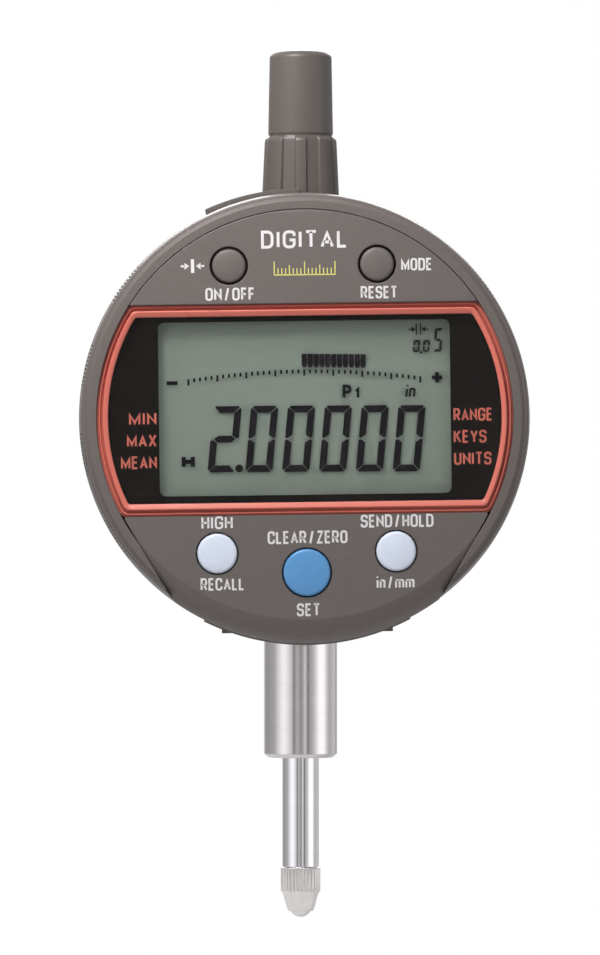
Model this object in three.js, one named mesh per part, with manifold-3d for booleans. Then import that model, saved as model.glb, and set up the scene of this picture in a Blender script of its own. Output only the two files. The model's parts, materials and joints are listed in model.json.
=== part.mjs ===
// Digital dial indicator with a plunger, a 3/8 in stem, a turning display head and a lug back.
// Millimetres, +Z up along the spindle. The display looks towards -Y and +X is to its right.
// The origin is on the stem's axis, half way down the bare stem, where a clamp holds it.

import * as THREE from 'three';
import { mergeVertices } from 'three/addons/utils/BufferGeometryUtils.js';
import Module from 'manifold-3d';

const wasm = await Module();
wasm.setup();

// ---------------------------------------------------------------- driving dimensions

const INCH = 25.4;
const STEM_R = 3 / 8 * INCH / 2;
const SPINDLE_R = 3 / 16 * INCH / 2;
const LUG_HOLE_R = 1 / 4 * INCH / 2;

const HEAD_Z = 36.65;               // the display head's centre above the origin
const FACE_X = 0.45;                // the head turns about an axis this far right of the spindle's
const FACE_TILT = 0.75;             // degrees that the display head stands turned, anticlockwise

// Heights measured from the head's centre.
const CAP_TOP = 47.7;
const CAP_WAIST = 37.0;
const CAP_SHOULDER = 36.2;
const CAP_BOTTOM = 28.9;
const NECK_TOP = 33.5;
const SPINDLE_TOP = 31.0;
const STEM_TOP = -20.0;
const STEM_END = -44.1;
const SPINDLE_END = -58.4;
const BALL_END = -64.9;
const BALL_R = 1.5;

// Depths, from the front of the bezel to the back of the lug.
const RING_FRONT = -17.8;
const FLANGE_FRONT = -17.4;
const PANEL_FRONT = -17.5;
const FRAME_FRONT = -17.3;
const LENS_FRONT = -17.0;
const PANEL_BACK = -15.9;
const CARRIER_FRONT = -15.6;
const CARRIER_BACK = -14.0;
const BOARD_FRONT = -12.5;
const BOARD_BACK = -11.7;
const TRAY_FRONT = -11.3;
const TRAY_BACK = -7.6;
const PLATE_FRONT = -7.3;
const BEZEL_BACK = -6.4;
const PLATE_BACK = -6.1;
const HOUSING_FRONT = -5.6;
const WEB_BACK = -4.9;
const HOUSING_BACK = 7.4;
const COVER_FRONT = 7.7;
const COVER_BACK = 9.5;
const LUG_CENTRE = 14.1;

// Radii about the head's centre.
const RIM_R = 29.15;
const RING_FACE_R = 27.7;
const FLANGE_R = 28.05;
const RING_INNER_R = 26.65;
const BEZEL_BORE_R = 27.6;
const PANEL_R = 26.45;
const FRAME_R = 26.35;
const LENS_R = 25.2;
const CARRIER_R = 27.0;
const HOUSING_R = 28.4;
const CAVITY_R = 25.8;
const COVER_R = 28.2;
const HUB_R = 4.1;
const HUB_BORE_R = 3.2;
const LUG_R = 5.6;
const LUG_HALF = 2.5;

// The display window and the panels above and below it.
const UPPER_PANEL_EDGE = 14.56;
const FRAME_TOP = 14.41;
const FRAME_BOTTOM = -12.26;
const LENS_TOP = 12.95;
const LENS_BOTTOM = -10.85;
const GLASS_HALF_WIDTH = 20.5;
const GLASS_HALF_HEIGHT = 13.0;
const GLASS_Z = 1.2;

// The chin: the lower panel widens past the bezel, then falls away towards the rim.
const CHIN_TOP = [23.35, -12.45];
const CHIN_RIM = [17.85, -21.85];
const CHIN_FLAT_R = 27.4;
const CHIN_FLAT_Z = 1.52;
const CHIN_OUTER_R = 28.95;

// Buttons, by place on the face and radius.
const BUTTONS = [
  { name: 'button_power', x: -9.46, z: 19.45, r: 2.17, gap: 0.26, colour: 'body' },
  { name: 'button_menu', x: 9.46, z: 19.45, r: 2.17, gap: 0.26, colour: 'body' },
  { name: 'button_peak', x: -11.43, z: -17.25, r: 2.57, gap: 0.18, colour: 'white' },
  { name: 'button_hold', x: 11.43, z: -17.25, r: 2.57, gap: 0.18, colour: 'white' },
  { name: 'button_zero', x: 0, z: -19.83, r: 3.04, gap: 0.18, colour: 'blue' },
];
const BUTTON_PROUD = 0.45;
const BUTTON_LIP = 0.35;
const BUTTON_STEM_R = 1.2;
const BUTTON_STEM_BACK = -13.65;

// The coin cell and its tray.
const CELL_R = 10.0;
const CELL_THICK = 3.2;
const CELL_Z = -16.7;
const TRAY_HALF = 11.2;
const TRAY_TOP = -5.9;
const TRAY_DOOR_HALF = 13.25;

const SCREW_CIRCLE_R = 24.5;
const SCREW_ANGLES = [45, 135, 225, 315];

const FINE = 48;                    // sides of the round shapes as large as the head
const ROUND = 20;
const SMALL = 10;

// ---------------------------------------------------------------- materials

function finish(colour, roughness, metalness) {
  return new THREE.MeshStandardMaterial({ color: colour, roughness, metalness });
}

const LOOKS = {
  body: finish(0x6f6865, 0.62, 0),
  cap: finish(0x645c58, 0.58, 0),
  red: finish(0xcd6458, 0.45, 0),
  lens: finish(0x231e1a, 0.08, 0),
  glass: finish(0x828e80, 0.3, 0),
  white: finish(0xd6dcea, 0.4, 0),
  blue: finish(0x6496c6, 0.4, 0),
  steel: finish(0xb9b9bd, 0.3, 1),
  chrome: finish(0xd0d2d6, 0.12, 1),
  nickel: finish(0xc3c1ba, 0.4, 1),
  carbide: finish(0x8d8d90, 0.2, 1),
  brass: finish(0xc2a35a, 0.35, 1),
  board: finish(0x2c6b45, 0.5, 0),
  black: finish(0x262626, 0.5, 0),
  rubber: finish(0x33302e, 0.8, 0),
  film: finish(0xc98a3a, 0.4, 0),
};

// ---------------------------------------------------------------- solids

// A closed solid for joining and cutting, made from any closed geometry.
function solid(geometry) {
  const bare = geometry.index ? geometry.toNonIndexed() : geometry.clone();
  bare.deleteAttribute('normal');
  bare.deleteAttribute('uv');
  const merged = mergeVertices(bare);
  const corners = merged.index.array;
  const kept = [];
  for (let i = 0; i < corners.length; i += 3) {
    const [a, b, c] = corners.slice(i, i + 3);
    if (a !== b && b !== c && c !== a) kept.push(a, b, c);
  }
  const places = new Float32Array(merged.attributes.position.array);
  if (signedVolume(places, kept) < 0) kept.reverse();
  return new wasm.Manifold(new wasm.Mesh({
    numProp: 3,
    vertProperties: places,
    triVerts: new Uint32Array(kept),
  }));
}

function signedVolume(places, corners) {
  const point = (i) => new THREE.Vector3().fromArray(places, 3 * corners[i]);
  let volume = 0;
  for (let i = 0; i < corners.length; i += 3) {
    volume += point(i).dot(point(i + 1).cross(point(i + 2))) / 6;
  }
  return volume;
}

function cut(body, ...tools) {
  return tools.reduce((left, tool) => left.subtract(tool), body);
}

function join(...bodies) {
  return bodies.reduce((whole, body) => whole.add(body));
}

function box(x0, x1, y0, y1, z0, z1) {
  const geometry = new THREE.BoxGeometry(x1 - x0, y1 - y0, z1 - z0);
  geometry.translate((x0 + x1) / 2, (y0 + y1) / 2, (z0 + z1) / 2);
  return solid(geometry);
}

// Turned about the Y axis: the outline is a list of [radius, y].
function turnedY(outline, sides = ROUND, x = 0, z = 0) {
  const points = outline.map(([radius, along]) => new THREE.Vector2(radius, along));
  return solid(new THREE.LatheGeometry(points, sides).translate(x, 0, z));
}

// Turned about the Z axis: the outline is a list of [radius, z].
function turnedZ(outline, sides = ROUND, x = 0, y = 0) {
  const points = outline.map(([radius, along]) => new THREE.Vector2(radius, along));
  const geometry = new THREE.LatheGeometry(points, sides).rotateX(Math.PI / 2);
  return solid(geometry.translate(x, y, 0));
}

function discY(radius, y0, y1, sides = ROUND, x = 0, z = 0) {
  return turnedY([[0, y0], [radius, y0], [radius, y1], [0, y1]], sides, x, z);
}

function rodZ(radius, z0, z1, sides = ROUND, x = 0, y = 0) {
  return turnedZ([[0, z0], [radius, z0], [radius, z1], [0, z1]], sides, x, y);
}

function rodX(radius, x0, x1, y, z, sides = SMALL) {
  const geometry = new THREE.CylinderGeometry(radius, radius, x1 - x0, sides);
  geometry.rotateZ(Math.PI / 2).translate((x0 + x1) / 2, y, z);
  return solid(geometry);
}

function ringY(inner, outer, y0, y1, sides = ROUND) {
  return turnedY([[inner, y0], [outer, y0], [outer, y1], [inner, y1], [inner, y0]], sides);
}

function ringZ(inner, outer, z0, z1, sides = ROUND) {
  return turnedZ([[inner, z0], [outer, z0], [outer, z1], [inner, z1], [inner, z0]], sides);
}

// A flat outline in X and Z, pushed through from the depth y0 back to y1.
function plate(shape, y0, y1, curveSegments = 12) {
  const geometry = new THREE.ExtrudeGeometry(shape, { depth: y1 - y0, bevelEnabled: false, curveSegments });
  return solid(geometry.rotateX(Math.PI / 2).translate(0, y1, 0));
}

function onCircle(radius, degrees) {
  const angle = THREE.MathUtils.degToRad(degrees);
  return [radius * Math.cos(angle), radius * Math.sin(angle)];
}

// The part of a disc that lies between two heights, with its round sides.
function bandShape(radius, bottom, top) {
  const low = Math.asin(bottom / radius);
  const high = Math.asin(Math.min(top / radius, 1));
  const shape = new THREE.Shape();
  shape.absarc(0, 0, radius, low, high, false);
  shape.absarc(0, 0, radius, Math.PI - high, Math.PI - low, false);
  shape.closePath();
  return shape;
}

// Rings of equal point count, one above the other, closed at both ends.
function loftZ(rings) {
  const count = rings[0].length;
  const places = rings.flat().flat();
  const last = (rings.length - 1) * count;
  const corners = [];
  for (let ring = 0; ring < rings.length - 1; ring += 1) {
    for (let i = 0; i < count; i += 1) {
      const a = ring * count + i;
      const b = ring * count + (i + 1) % count;
      corners.push(a, b, b + count, a, b + count, a + count);
    }
  }
  for (let i = 1; i < count - 1; i += 1) {
    corners.push(0, i + 1, i, last, last + i, last + i + 1);
  }
  const geometry = new THREE.BufferGeometry();
  geometry.setAttribute('position', new THREE.Float32BufferAttribute(places, 3));
  geometry.setIndex(corners);
  return solid(geometry);
}

// ---------------------------------------------------------------- the scene graph

const indicator = new THREE.Group();
const head = new THREE.Group();
head.position.z = HEAD_Z;
indicator.add(head);
const face = new THREE.Group();
face.position.x = FACE_X;
face.rotation.y = -THREE.MathUtils.degToRad(FACE_TILT);
head.add(face);
const hubAxis = new THREE.Group();
hubAxis.position.x = FACE_X;
head.add(hubAxis);

function place(group, name, body, look) {
  const mesh = body.getMesh();
  const geometry = new THREE.BufferGeometry();
  geometry.setAttribute('position', new THREE.Float32BufferAttribute(mesh.vertProperties, 3));
  geometry.setIndex(Array.from(mesh.triVerts));
  const piece = new THREE.Mesh(geometry, LOOKS[look]);
  piece.name = name;
  group.add(piece);
}

// ---------------------------------------------------------------- fixed housing

const PORT = { x0: -11.6, x1: -6.0, y0: -2.6, y1: 2.6, floor: 22.6 };

// A cup with a front web, open at the back, with bosses for the stem, neck, port and screws.
function rearHousing() {
  const shell = cut(
    discY(HOUSING_R, HOUSING_FRONT, HOUSING_BACK, FINE),
    discY(CAVITY_R, WEB_BACK, HOUSING_BACK + 1, FINE),
  );
  const stemBoss = box(-7, 7, HOUSING_FRONT, HOUSING_BACK, -27.2, STEM_TOP - 0.6);
  const neckBoss = box(-5.5, 5.5, HOUSING_FRONT, HOUSING_BACK, 24.4, 27.6);
  const neck = rodZ(3.5, 24.4, NECK_TOP);
  const portBoss = box(PORT.x0 - 1, PORT.x1 + 0.35, HOUSING_FRONT, 4.4, PORT.floor - 1.2, 25.6);
  const hub = discY(HUB_R, -8.5, HOUSING_FRONT + 0.2, ROUND, FACE_X);
  const screwBosses = SCREW_ANGLES.map((degrees) => {
    const [x, z] = onCircle(SCREW_CIRCLE_R, degrees);
    return discY(2.2, HOUSING_FRONT, HOUSING_BACK, SMALL, x, z);
  });
  const screwHoles = SCREW_ANGLES.map((degrees) => {
    const [x, z] = onCircle(SCREW_CIRCLE_R, degrees);
    return discY(0.95, 1.2, HOUSING_BACK + 1, SMALL, x, z);
  });
  return cut(
    join(shell, stemBoss, neckBoss, neck, portBoss, hub, ...screwBosses),
    discY(HUB_BORE_R, -9, WEB_BACK + 0.5, ROUND, FACE_X),
    rodZ(STEM_R + 0.06, -30, STEM_TOP + 1),
    rodZ(2.9, 24, NECK_TOP + 1),
    box(PORT.x0, PORT.x1, PORT.y0, PORT.y1, PORT.floor, HOUSING_R + 1),
    ...screwHoles,
  );
}

// A round plate with the lug: an upright ear with a cross hole.
function backCover() {
  const disc = turnedY([
    [0, COVER_FRONT], [COVER_R, COVER_FRONT], [COVER_R, COVER_BACK - 0.6],
    [COVER_R - 0.6, COVER_BACK], [0, COVER_BACK],
  ], FINE);
  const step = turnedY([
    [0, COVER_BACK - 0.5], [13, COVER_BACK - 0.5], [12.4, COVER_BACK + 0.9], [0, COVER_BACK + 0.9],
  ], 36);
  const ear = join(
    rodX(LUG_R, -LUG_HALF, LUG_HALF, LUG_CENTRE, 0, ROUND),
    box(-LUG_HALF, LUG_HALF, COVER_BACK - 0.5, LUG_CENTRE, -LUG_R, LUG_R),
  );
  const holes = SCREW_ANGLES.map((degrees) => {
    const [x, z] = onCircle(SCREW_CIRCLE_R, degrees);
    return join(
      discY(1.15, COVER_FRONT - 1, COVER_BACK + 1, SMALL, x, z),
      discY(2.05, COVER_BACK - 1.1, COVER_BACK + 1, SMALL, x, z),
    );
  });
  const lugHole = rodX(LUG_HOLE_R, -LUG_HALF - 1, LUG_HALF + 1, LUG_CENTRE, 0, ROUND);
  return cut(join(disc, step, ear), lugHole, ...holes);
}

// A pan-head screw along Y whose head faces the given way: +1 to the back, -1 to the front.
function screwY(x, z, headY, shaftEnd, headR, shaftR) {
  const backwards = Math.sign(headY - shaftEnd);
  const seat = headY - 0.75 * backwards;
  const screw = join(
    discY(headR, Math.min(headY, seat), Math.max(headY, seat), SMALL, x, z),
    discY(shaftR, Math.min(seat, shaftEnd) - 0.01, Math.max(seat, shaftEnd) + 0.01, 12, x, z),
  );
  const slot = (along, across) => box(
    x - along, x + along, headY - 0.35, headY + 0.35, z - across, z + across,
  );
  return cut(screw, slot(headR * 0.6, 0.22), slot(0.22, headR * 0.6));
}

function stem() {
  return turnedZ([
    [3.2, STEM_END], [STEM_R - 0.45, STEM_END], [STEM_R, STEM_END + 0.45],
    [STEM_R, STEM_TOP], [3.2, STEM_TOP], [3.2, STEM_END],
  ], ROUND);
}

// The arc-shaped cover of the data port, with a thin lip that runs on in front of the cap.
function portCover() {
  const arc = (from, to, y0, y1) => {
    const shape = new THREE.Shape();
    const start = THREE.MathUtils.degToRad(from);
    const end = THREE.MathUtils.degToRad(to);
    shape.absarc(0, 0, 29.7, start, end, false);
    shape.absarc(0, 0, HOUSING_R + 0.25, end, start, true);
    shape.closePath();
    return plate(shape, y0, y1, 6);
  };
  return join(arc(101.5, 114.8, HOUSING_FRONT + 0.05, 4.4), arc(90.3, 114.8, HOUSING_FRONT + 0.05, -5.15));
}

// A flat ribbon that crosses from the detector board to the display board through the hub.
function flexCable() {
  const path = [[5.2, 4.2], [5.2, -2.6], [1.6, -3.8], [0, -5.0], [0, -11.2]];
  const half = 0.13;
  const left = [];
  const right = [];
  path.forEach(([x, y], i) => {
    const [px, py] = path[Math.max(i - 1, 0)];
    const [nx, ny] = path[Math.min(i + 1, path.length - 1)];
    const length = Math.hypot(nx - px, ny - py);
    const across = [-(ny - py) / length * half, (nx - px) / length * half];
    left.push(new THREE.Vector2(x + across[0], y + across[1]));
    right.unshift(new THREE.Vector2(x - across[0], y - across[1]));
  });
  const geometry = new THREE.ExtrudeGeometry(new THREE.Shape([...left, ...right]), {
    depth: 3.5, bevelEnabled: false,
  });
  return solid(geometry.translate(0, 0, -1.75));
}

// ---------------------------------------------------------------- spindle and return spring

function spindle() {
  return cut(
    turnedZ([
      [0, SPINDLE_END], [SPINDLE_R - 0.2, SPINDLE_END], [SPINDLE_R, SPINDLE_END + 0.25],
      [SPINDLE_R, SPINDLE_TOP - 0.4], [SPINDLE_R - 0.4, SPINDLE_TOP], [0, SPINDLE_TOP],
    ]),
    rodZ(1.15, SPINDLE_END - 1, SPINDLE_END + 3.6, SMALL),
  );
}

// The knurled contact point, with its threaded stub and the socket that the ball sits in.
function contactPoint() {
  const ridges = 14;
  const ring = (crest, root, z) => {
    const points = [];
    for (let i = 0; i < ridges * 2; i += 1) {
      const [x, y] = onCircle(i % 2 ? root : crest, i * 180 / ridges);
      points.push([x, y, z]);
    }
    return points;
  };
  const sleeveTop = SPINDLE_END - 0.1;
  const body = loftZ([
    ring(1.6, 1.6, -64.1), ring(1.75, 1.75, -63.7), ring(2.35, 2.35, -61.85), ring(2.45, 2.3, -61.8),
    ring(2.57, 2.4, -61.6), ring(2.57, 2.4, sleeveTop - 0.3), ring(2.35, 2.3, sleeveTop),
  ]);
  const stub = rodZ(1.0, sleeveTop - 0.5, SPINDLE_END + 3.2, SMALL);
  const socket = new THREE.SphereGeometry(BALL_R + 0.06, 16, 10).translate(0, 0, BALL_END + BALL_R);
  return cut(join(body, stub), solid(socket));
}

function contactBall() {
  const ball = new THREE.SphereGeometry(BALL_R, 16, 10).rotateX(Math.PI / 2);
  return solid(ball.translate(0, 0, BALL_END + BALL_R));
}

const CARRIER_Z = [3.0, 9.0];
const SPRING_X = -8.6;
const SPRING_Z = [-16.4, 4.0];

// The block clamped on the spindle, which carries the scale, the guide pin and the spring's pin.
function scaleCarrier() {
  const [low, high] = CARRIER_Z;
  const middle = (low + high) / 2;
  return cut(
    join(box(-5.4, 7.0, -3.5, 3.1, low, high), box(-10.4, -5, -1.6, 1.6, middle - 1.6, middle + 1.6)),
    rodZ(SPINDLE_R + 0.08, low - 1, high + 1),
    box(2, 8, -0.25, 0.25, low - 1, high + 1),
    box(5.0, 8, -1.15, 1.15, middle - 1.15, middle + 1.15),
    discY(0.95, -4, 4, SMALL, 4.1, low + 1.4),
    discY(0.75, -3, 3, SMALL, SPRING_X, middle),
  );
}

function returnSpring() {
  const turns = 13;
  const stepsPerTurn = 8;
  const coilR = 1.4;
  const [low, high] = SPRING_Z;
  class Coil extends THREE.Curve {
    getPoint(t, target = new THREE.Vector3()) {
      const angle = t * turns * 2 * Math.PI;
      return target.set(SPRING_X + coilR * Math.cos(angle), coilR * Math.sin(angle), low + (high - low) * t);
    }
  }
  const wire = new THREE.Shape().absarc(0, 0, 0.22, 0, 2 * Math.PI, false);
  return solid(new THREE.ExtrudeGeometry(wire, {
    steps: turns * stepsPerTurn, extrudePath: new Coil(), curveSegments: 2, bevelEnabled: false,
  }));
}

// ---------------------------------------------------------------- spindle cap

// The cap's fluted skirt: nine ribs and nine recessed flats between them.
function spindleCap() {
  const ribs = 9;
  const ring = (rib, z, depth = 0.3) => {
    const points = [];
    for (let i = 0; i < ribs; i += 1) {
      const middle = -90 + i * 360 / ribs;
      const flat = rib - depth;
      const spots = [[rib, -9], [rib, 0], [rib, 9], [flat, 11], [flat - 0.05, 20], [flat, 29]];
      spots.forEach(([radius, turn]) => points.push([...onCircle(radius, middle + turn), z]));
    }
    return points;
  };
  const skirt = loftZ([ring(4.93, CAP_BOTTOM), ring(4.66, CAP_SHOULDER), ring(4.3, CAP_WAIST, 0.1)]);
  const crown = turnedZ([
    [0, CAP_SHOULDER - 1], [4.2, CAP_SHOULDER - 1], [4.2, CAP_WAIST], [4.03, CAP_TOP - 0.55],
    [3.5, CAP_TOP], [0, CAP_TOP],
  ], 36);
  const hollow = turnedZ([
    [0, CAP_BOTTOM - 1], [3.75, CAP_BOTTOM - 1], [3.75, 35.6], [2.9, 36.2], [2.9, 46.2], [0, 46.2],
  ], 24);
  return cut(join(skirt, crown), hollow);
}

// ---------------------------------------------------------------- display head

// The wedge of the bezel that the lower panel takes the place of.
function chinShape(allowance) {
  const [topX, topZ] = CHIN_TOP;
  const [rimX, rimZ] = CHIN_RIM;
  const slope = (rimX - topX) / (rimZ - topZ);
  const far = -31;
  const farX = topX + slope * (far - topZ);
  return new THREE.Shape([
    new THREE.Vector2(-topX - allowance, topZ), new THREE.Vector2(-farX - allowance, far),
    new THREE.Vector2(farX + allowance, far), new THREE.Vector2(topX + allowance, topZ),
  ]);
}

// The turning bezel: a tube with a rolled front edge, a thin flange, and a flat inner ring that stands
// a little in front of the flange.
function bezelRing() {
  const ring = turnedY([
    [RIM_R, BEZEL_BACK], [28.75, -16.2], [28.6, -16.85], [28.4, FLANGE_FRONT], [FLANGE_R, FLANGE_FRONT],
    [RING_FACE_R, RING_FRONT], [RING_INNER_R, RING_FRONT], [RING_INNER_R, PANEL_BACK],
    [BEZEL_BORE_R, PANEL_BACK + 0.2], [BEZEL_BORE_R, BEZEL_BACK], [RIM_R, BEZEL_BACK],
  ], FINE);
  return cut(ring, plate(chinShape(0.2), RING_FRONT - 1, BEZEL_BACK + 1));
}

function buttonHoles(buttons, spare) {
  return buttons.map(({ x, z, r, gap }) => discY(r + gap + spare, RING_FRONT - 1, BOARD_FRONT, ROUND, x, z));
}

function upperPanel() {
  const panel = plate(bandShape(PANEL_R, UPPER_PANEL_EDGE, PANEL_R), PANEL_FRONT, PANEL_BACK);
  return cut(panel, ...buttonHoles(BUTTONS.slice(0, 2), 0));
}

// The lower panel: flat in front of the buttons, then a chin that curves back to the rim.
function lowerPanel() {
  const outline = plate(chinShape(0), RING_FRONT, BEZEL_BACK);
  const limit = discY(CHIN_OUTER_R, RING_FRONT, BEZEL_BACK, FINE);
  const chin = turnedY([
    [0, PANEL_FRONT], [CHIN_FLAT_R, PANEL_FRONT], [28.7, -17.05], [29.7, -16.2], [30.35, -15.1],
    [30.7, -13.4], [31.3, BEZEL_BACK], [0, BEZEL_BACK],
  ], FINE, 0, CHIN_FLAT_Z);
  const inside = discY(CARRIER_R + 0.3, PANEL_BACK, BEZEL_BACK + 1, FINE);
  const wayHalf = TRAY_DOOR_HALF + 0.15;
  const trayWay = box(-wayHalf, wayHalf, TRAY_FRONT - 0.35, PLATE_FRONT + 0.2, -31, -20);
  return cut(
    outline.intersect(limit).intersect(chin),
    inside,
    trayWay,
    ...buttonHoles(BUTTONS.slice(2), 0),
  );
}

function windowFrame() {
  return cut(
    plate(bandShape(FRAME_R, FRAME_BOTTOM, FRAME_TOP), FRAME_FRONT, PANEL_BACK),
    plate(bandShape(LENS_R + 0.05, LENS_BOTTOM, LENS_TOP), FRAME_FRONT - 1, PANEL_BACK + 1),
  );
}

function windowLens() {
  const gap = 0.06;
  return plate(bandShape(LENS_R - gap, LENS_BOTTOM + gap, LENS_TOP - gap), LENS_FRONT, PANEL_BACK);
}

// The disc that the panels, the lens and the display glass are fixed to.
function displayCarrier() {
  const [glassX, glassZ] = [GLASS_HALF_WIDTH + 0.3, GLASS_HALF_HEIGHT + 0.3];
  return cut(
    discY(CARRIER_R, CARRIER_FRONT, CARRIER_BACK, FINE),
    box(-glassX, glassX, -20, 0, GLASS_Z - glassZ, GLASS_Z + glassZ),
    ...buttonHoles(BUTTONS, 0.5),
    ...faceScrewHoles(0.95, CARRIER_BACK),
  );
}

function faceScrewHoles(radius, back) {
  return SCREW_ANGLES.map((degrees) => {
    const [x, z] = onCircle(SCREW_CIRCLE_R, degrees);
    return discY(radius, -15.2, back + 1, SMALL, x, z);
  });
}

function displayBoard() {
  return cut(discY(26.4, BOARD_FRONT, BOARD_BACK, 36), ...faceScrewHoles(1.1, BOARD_BACK));
}

function facePlate() {
  return cut(
    discY(CARRIER_R, PLATE_FRONT, PLATE_BACK, FINE),
    discY(HUB_R + 0.12, PLATE_FRONT - 1, PLATE_BACK + 1),
    ...faceScrewHoles(1.0, PLATE_BACK),
    ...SCREW_ANGLES.map((degrees) => {
      const [x, z] = onCircle(SCREW_CIRCLE_R, degrees);
      return discY(1.7, PLATE_BACK - 0.85, PLATE_BACK + 1, SMALL, x, z);
    }),
  );
}

function button({ x, z, r }) {
  const crown = PANEL_FRONT - BUTTON_PROUD;
  const lipFront = PANEL_BACK + 0.15;
  const lipBack = lipFront + 0.5;
  return turnedY([
    [0, crown], [r - 0.45, crown + 0.06], [r, crown + 0.35], [r, lipFront], [r + BUTTON_LIP, lipFront],
    [r + BUTTON_LIP, lipBack], [BUTTON_STEM_R, lipBack], [BUTTON_STEM_R, BUTTON_STEM_BACK],
    [0, BUTTON_STEM_BACK],
  ], ROUND, x, z);
}

// A thin film on the board with a snap dome under each of the given buttons.
function switchSheet(buttons, half, bottom, top) {
  const film = box(-half, half, BOARD_FRONT - 0.2, BOARD_FRONT - 0.05, bottom, top);
  const domes = buttons.map(({ x, z }) => turnedY([
    [0, BOARD_FRONT - 0.55], [1.0, BOARD_FRONT - 0.46], [1.7, BOARD_FRONT - 0.1], [0, BOARD_FRONT - 0.1],
  ], SMALL, x, z));
  return join(film, ...domes);
}

// The tray: a frame round the cell, with a thin floor and a door that follows the rim.
function batteryTray() {
  const door = cut(
    discY(RIM_R + 0.1, TRAY_FRONT - 0.2, TRAY_BACK + 0.2, FINE),
    discY(CARRIER_R + 0.4, TRAY_FRONT - 1, TRAY_BACK + 1, FINE),
  ).intersect(box(-TRAY_DOOR_HALF, TRAY_DOOR_HALF, -20, 0, -31, -20));
  const bed = box(-TRAY_HALF, TRAY_HALF, TRAY_FRONT, TRAY_BACK, -28.0, TRAY_TOP)
    .intersect(discY(RIM_R - 0.4, -20, 0, FINE));
  return cut(
    join(bed, door),
    discY(CELL_R + 0.2, TRAY_FRONT - 1, TRAY_BACK - 0.3, ROUND, 0, CELL_Z),
    discY(6.0, TRAY_FRONT - 1, TRAY_BACK + 1, ROUND, 0, CELL_Z),
  );
}

function coinCell() {
  const front = TRAY_FRONT + 0.1;
  const back = front + CELL_THICK - 0.03;
  return turnedY([
    [0, front], [8.6, front], [8.6, front + 0.35], [CELL_R - 0.2, front + 0.35], [CELL_R, front + 0.55],
    [CELL_R, back - 0.3], [CELL_R - 0.3, back], [0, back],
  ], ROUND, 0, CELL_Z);
}

// ---------------------------------------------------------------- assembly

place(head, 'rear_housing', rearHousing(), 'body');
place(head, 'back_cover', backCover(), 'body');
place(head, 'cover_gasket', ringY(26.1, 27.7, HOUSING_BACK + 0.05, COVER_FRONT - 0.05, 36), 'rubber');
place(head, 'stem', stem(), 'steel');
place(head, 'stem_seal', ringZ(SPINDLE_R + 0.05, 3.12, STEM_END + 0.05, STEM_END + 0.9), 'rubber');
place(head, 'lower_bush', ringZ(SPINDLE_R + 0.04, 3.12, STEM_END + 1.0, STEM_END + 7), 'brass');
place(head, 'upper_bush', ringZ(SPINDLE_R + 0.04, 3.12, STEM_TOP - 7, STEM_TOP - 0.5), 'brass');
place(head, 'neck_bush', ringZ(SPINDLE_R + 0.04, 2.82, 25.5, 30.5), 'brass');
place(hubAxis, 'retaining_ring', cut(
  ringY(HUB_R + 0.06, 5.3, -8.1, -7.55),
  box(-0.9, 0.9, -9, -7, 0, 7),
), 'steel');
place(hubAxis, 'friction_washer', ringY(16.5, 20, PLATE_BACK + 0.12, HOUSING_FRONT - 0.12), 'nickel');
place(head, 'detector_board', box(-15, 15, 5.3, 6.1, -17, 18), 'board');
place(head, 'detector_head', box(-5, 5, 4.6, 5.25, -9, 9), 'black');
place(head, 'interface_chip', box(7.5, 13.5, 6.15, 7.15, -4, 2), 'black');
place(head, 'port_connector', box(
  PORT.x0 + 0.15, PORT.x1 - 0.15, PORT.y0 + 0.15, PORT.y1 - 0.15, PORT.floor + 0.05, PORT.floor + 1,
), 'black');
place(head, 'flex_cable', flexCable(), 'film');
place(head, 'guide_rail', cut(
  box(8.4, 10.6, -2.3, 2.3, -2, 22),
  box(8, 11, -0.9, 0.9, 3, 21),
), 'steel');
place(head, 'spring_post', discY(0.7, WEB_BACK + 0.05, 3.2, SMALL, SPRING_X, SPRING_Z[0] - 1), 'steel');
SCREW_ANGLES.forEach((degrees, i) => {
  const [x, z] = onCircle(SCREW_CIRCLE_R, degrees);
  place(head, `cover_screw_${i + 1}`, screwY(x, z, COVER_BACK - 0.3, 1.6, 1.9, 0.85), 'steel');
});

place(head, 'spindle', spindle(), 'chrome');
place(head, 'contact_point', contactPoint(), 'nickel');
place(head, 'contact_ball', contactBall(), 'carbide');
place(head, 'stop_ring', ringZ(SPINDLE_R + 0.06, 4.1, STEM_TOP + 0.15, STEM_TOP + 0.95), 'steel');
place(head, 'scale_carrier', scaleCarrier(), 'nickel');
place(head, 'encoder_scale', box(-3.2, 3.2, 3.3, 4.1, -16, 8), 'glass');
place(head, 'clamp_screw', screwY(4.1, CARRIER_Z[0] + 1.4, -4.3, 2.9, 1.4, 0.85), 'steel');
place(head, 'guide_pin', rodX(0.8, 5.1, 11.2, 0, 6), 'steel');
place(head, 'spring_pin', discY(0.68, -1.75, 3.2, SMALL, SPRING_X, 6), 'steel');
place(head, 'return_spring', returnSpring(), 'steel');

place(head, 'spindle_cap', spindleCap(), 'cap');
place(head, 'port_cover', portCover(), 'rubber');

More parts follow.
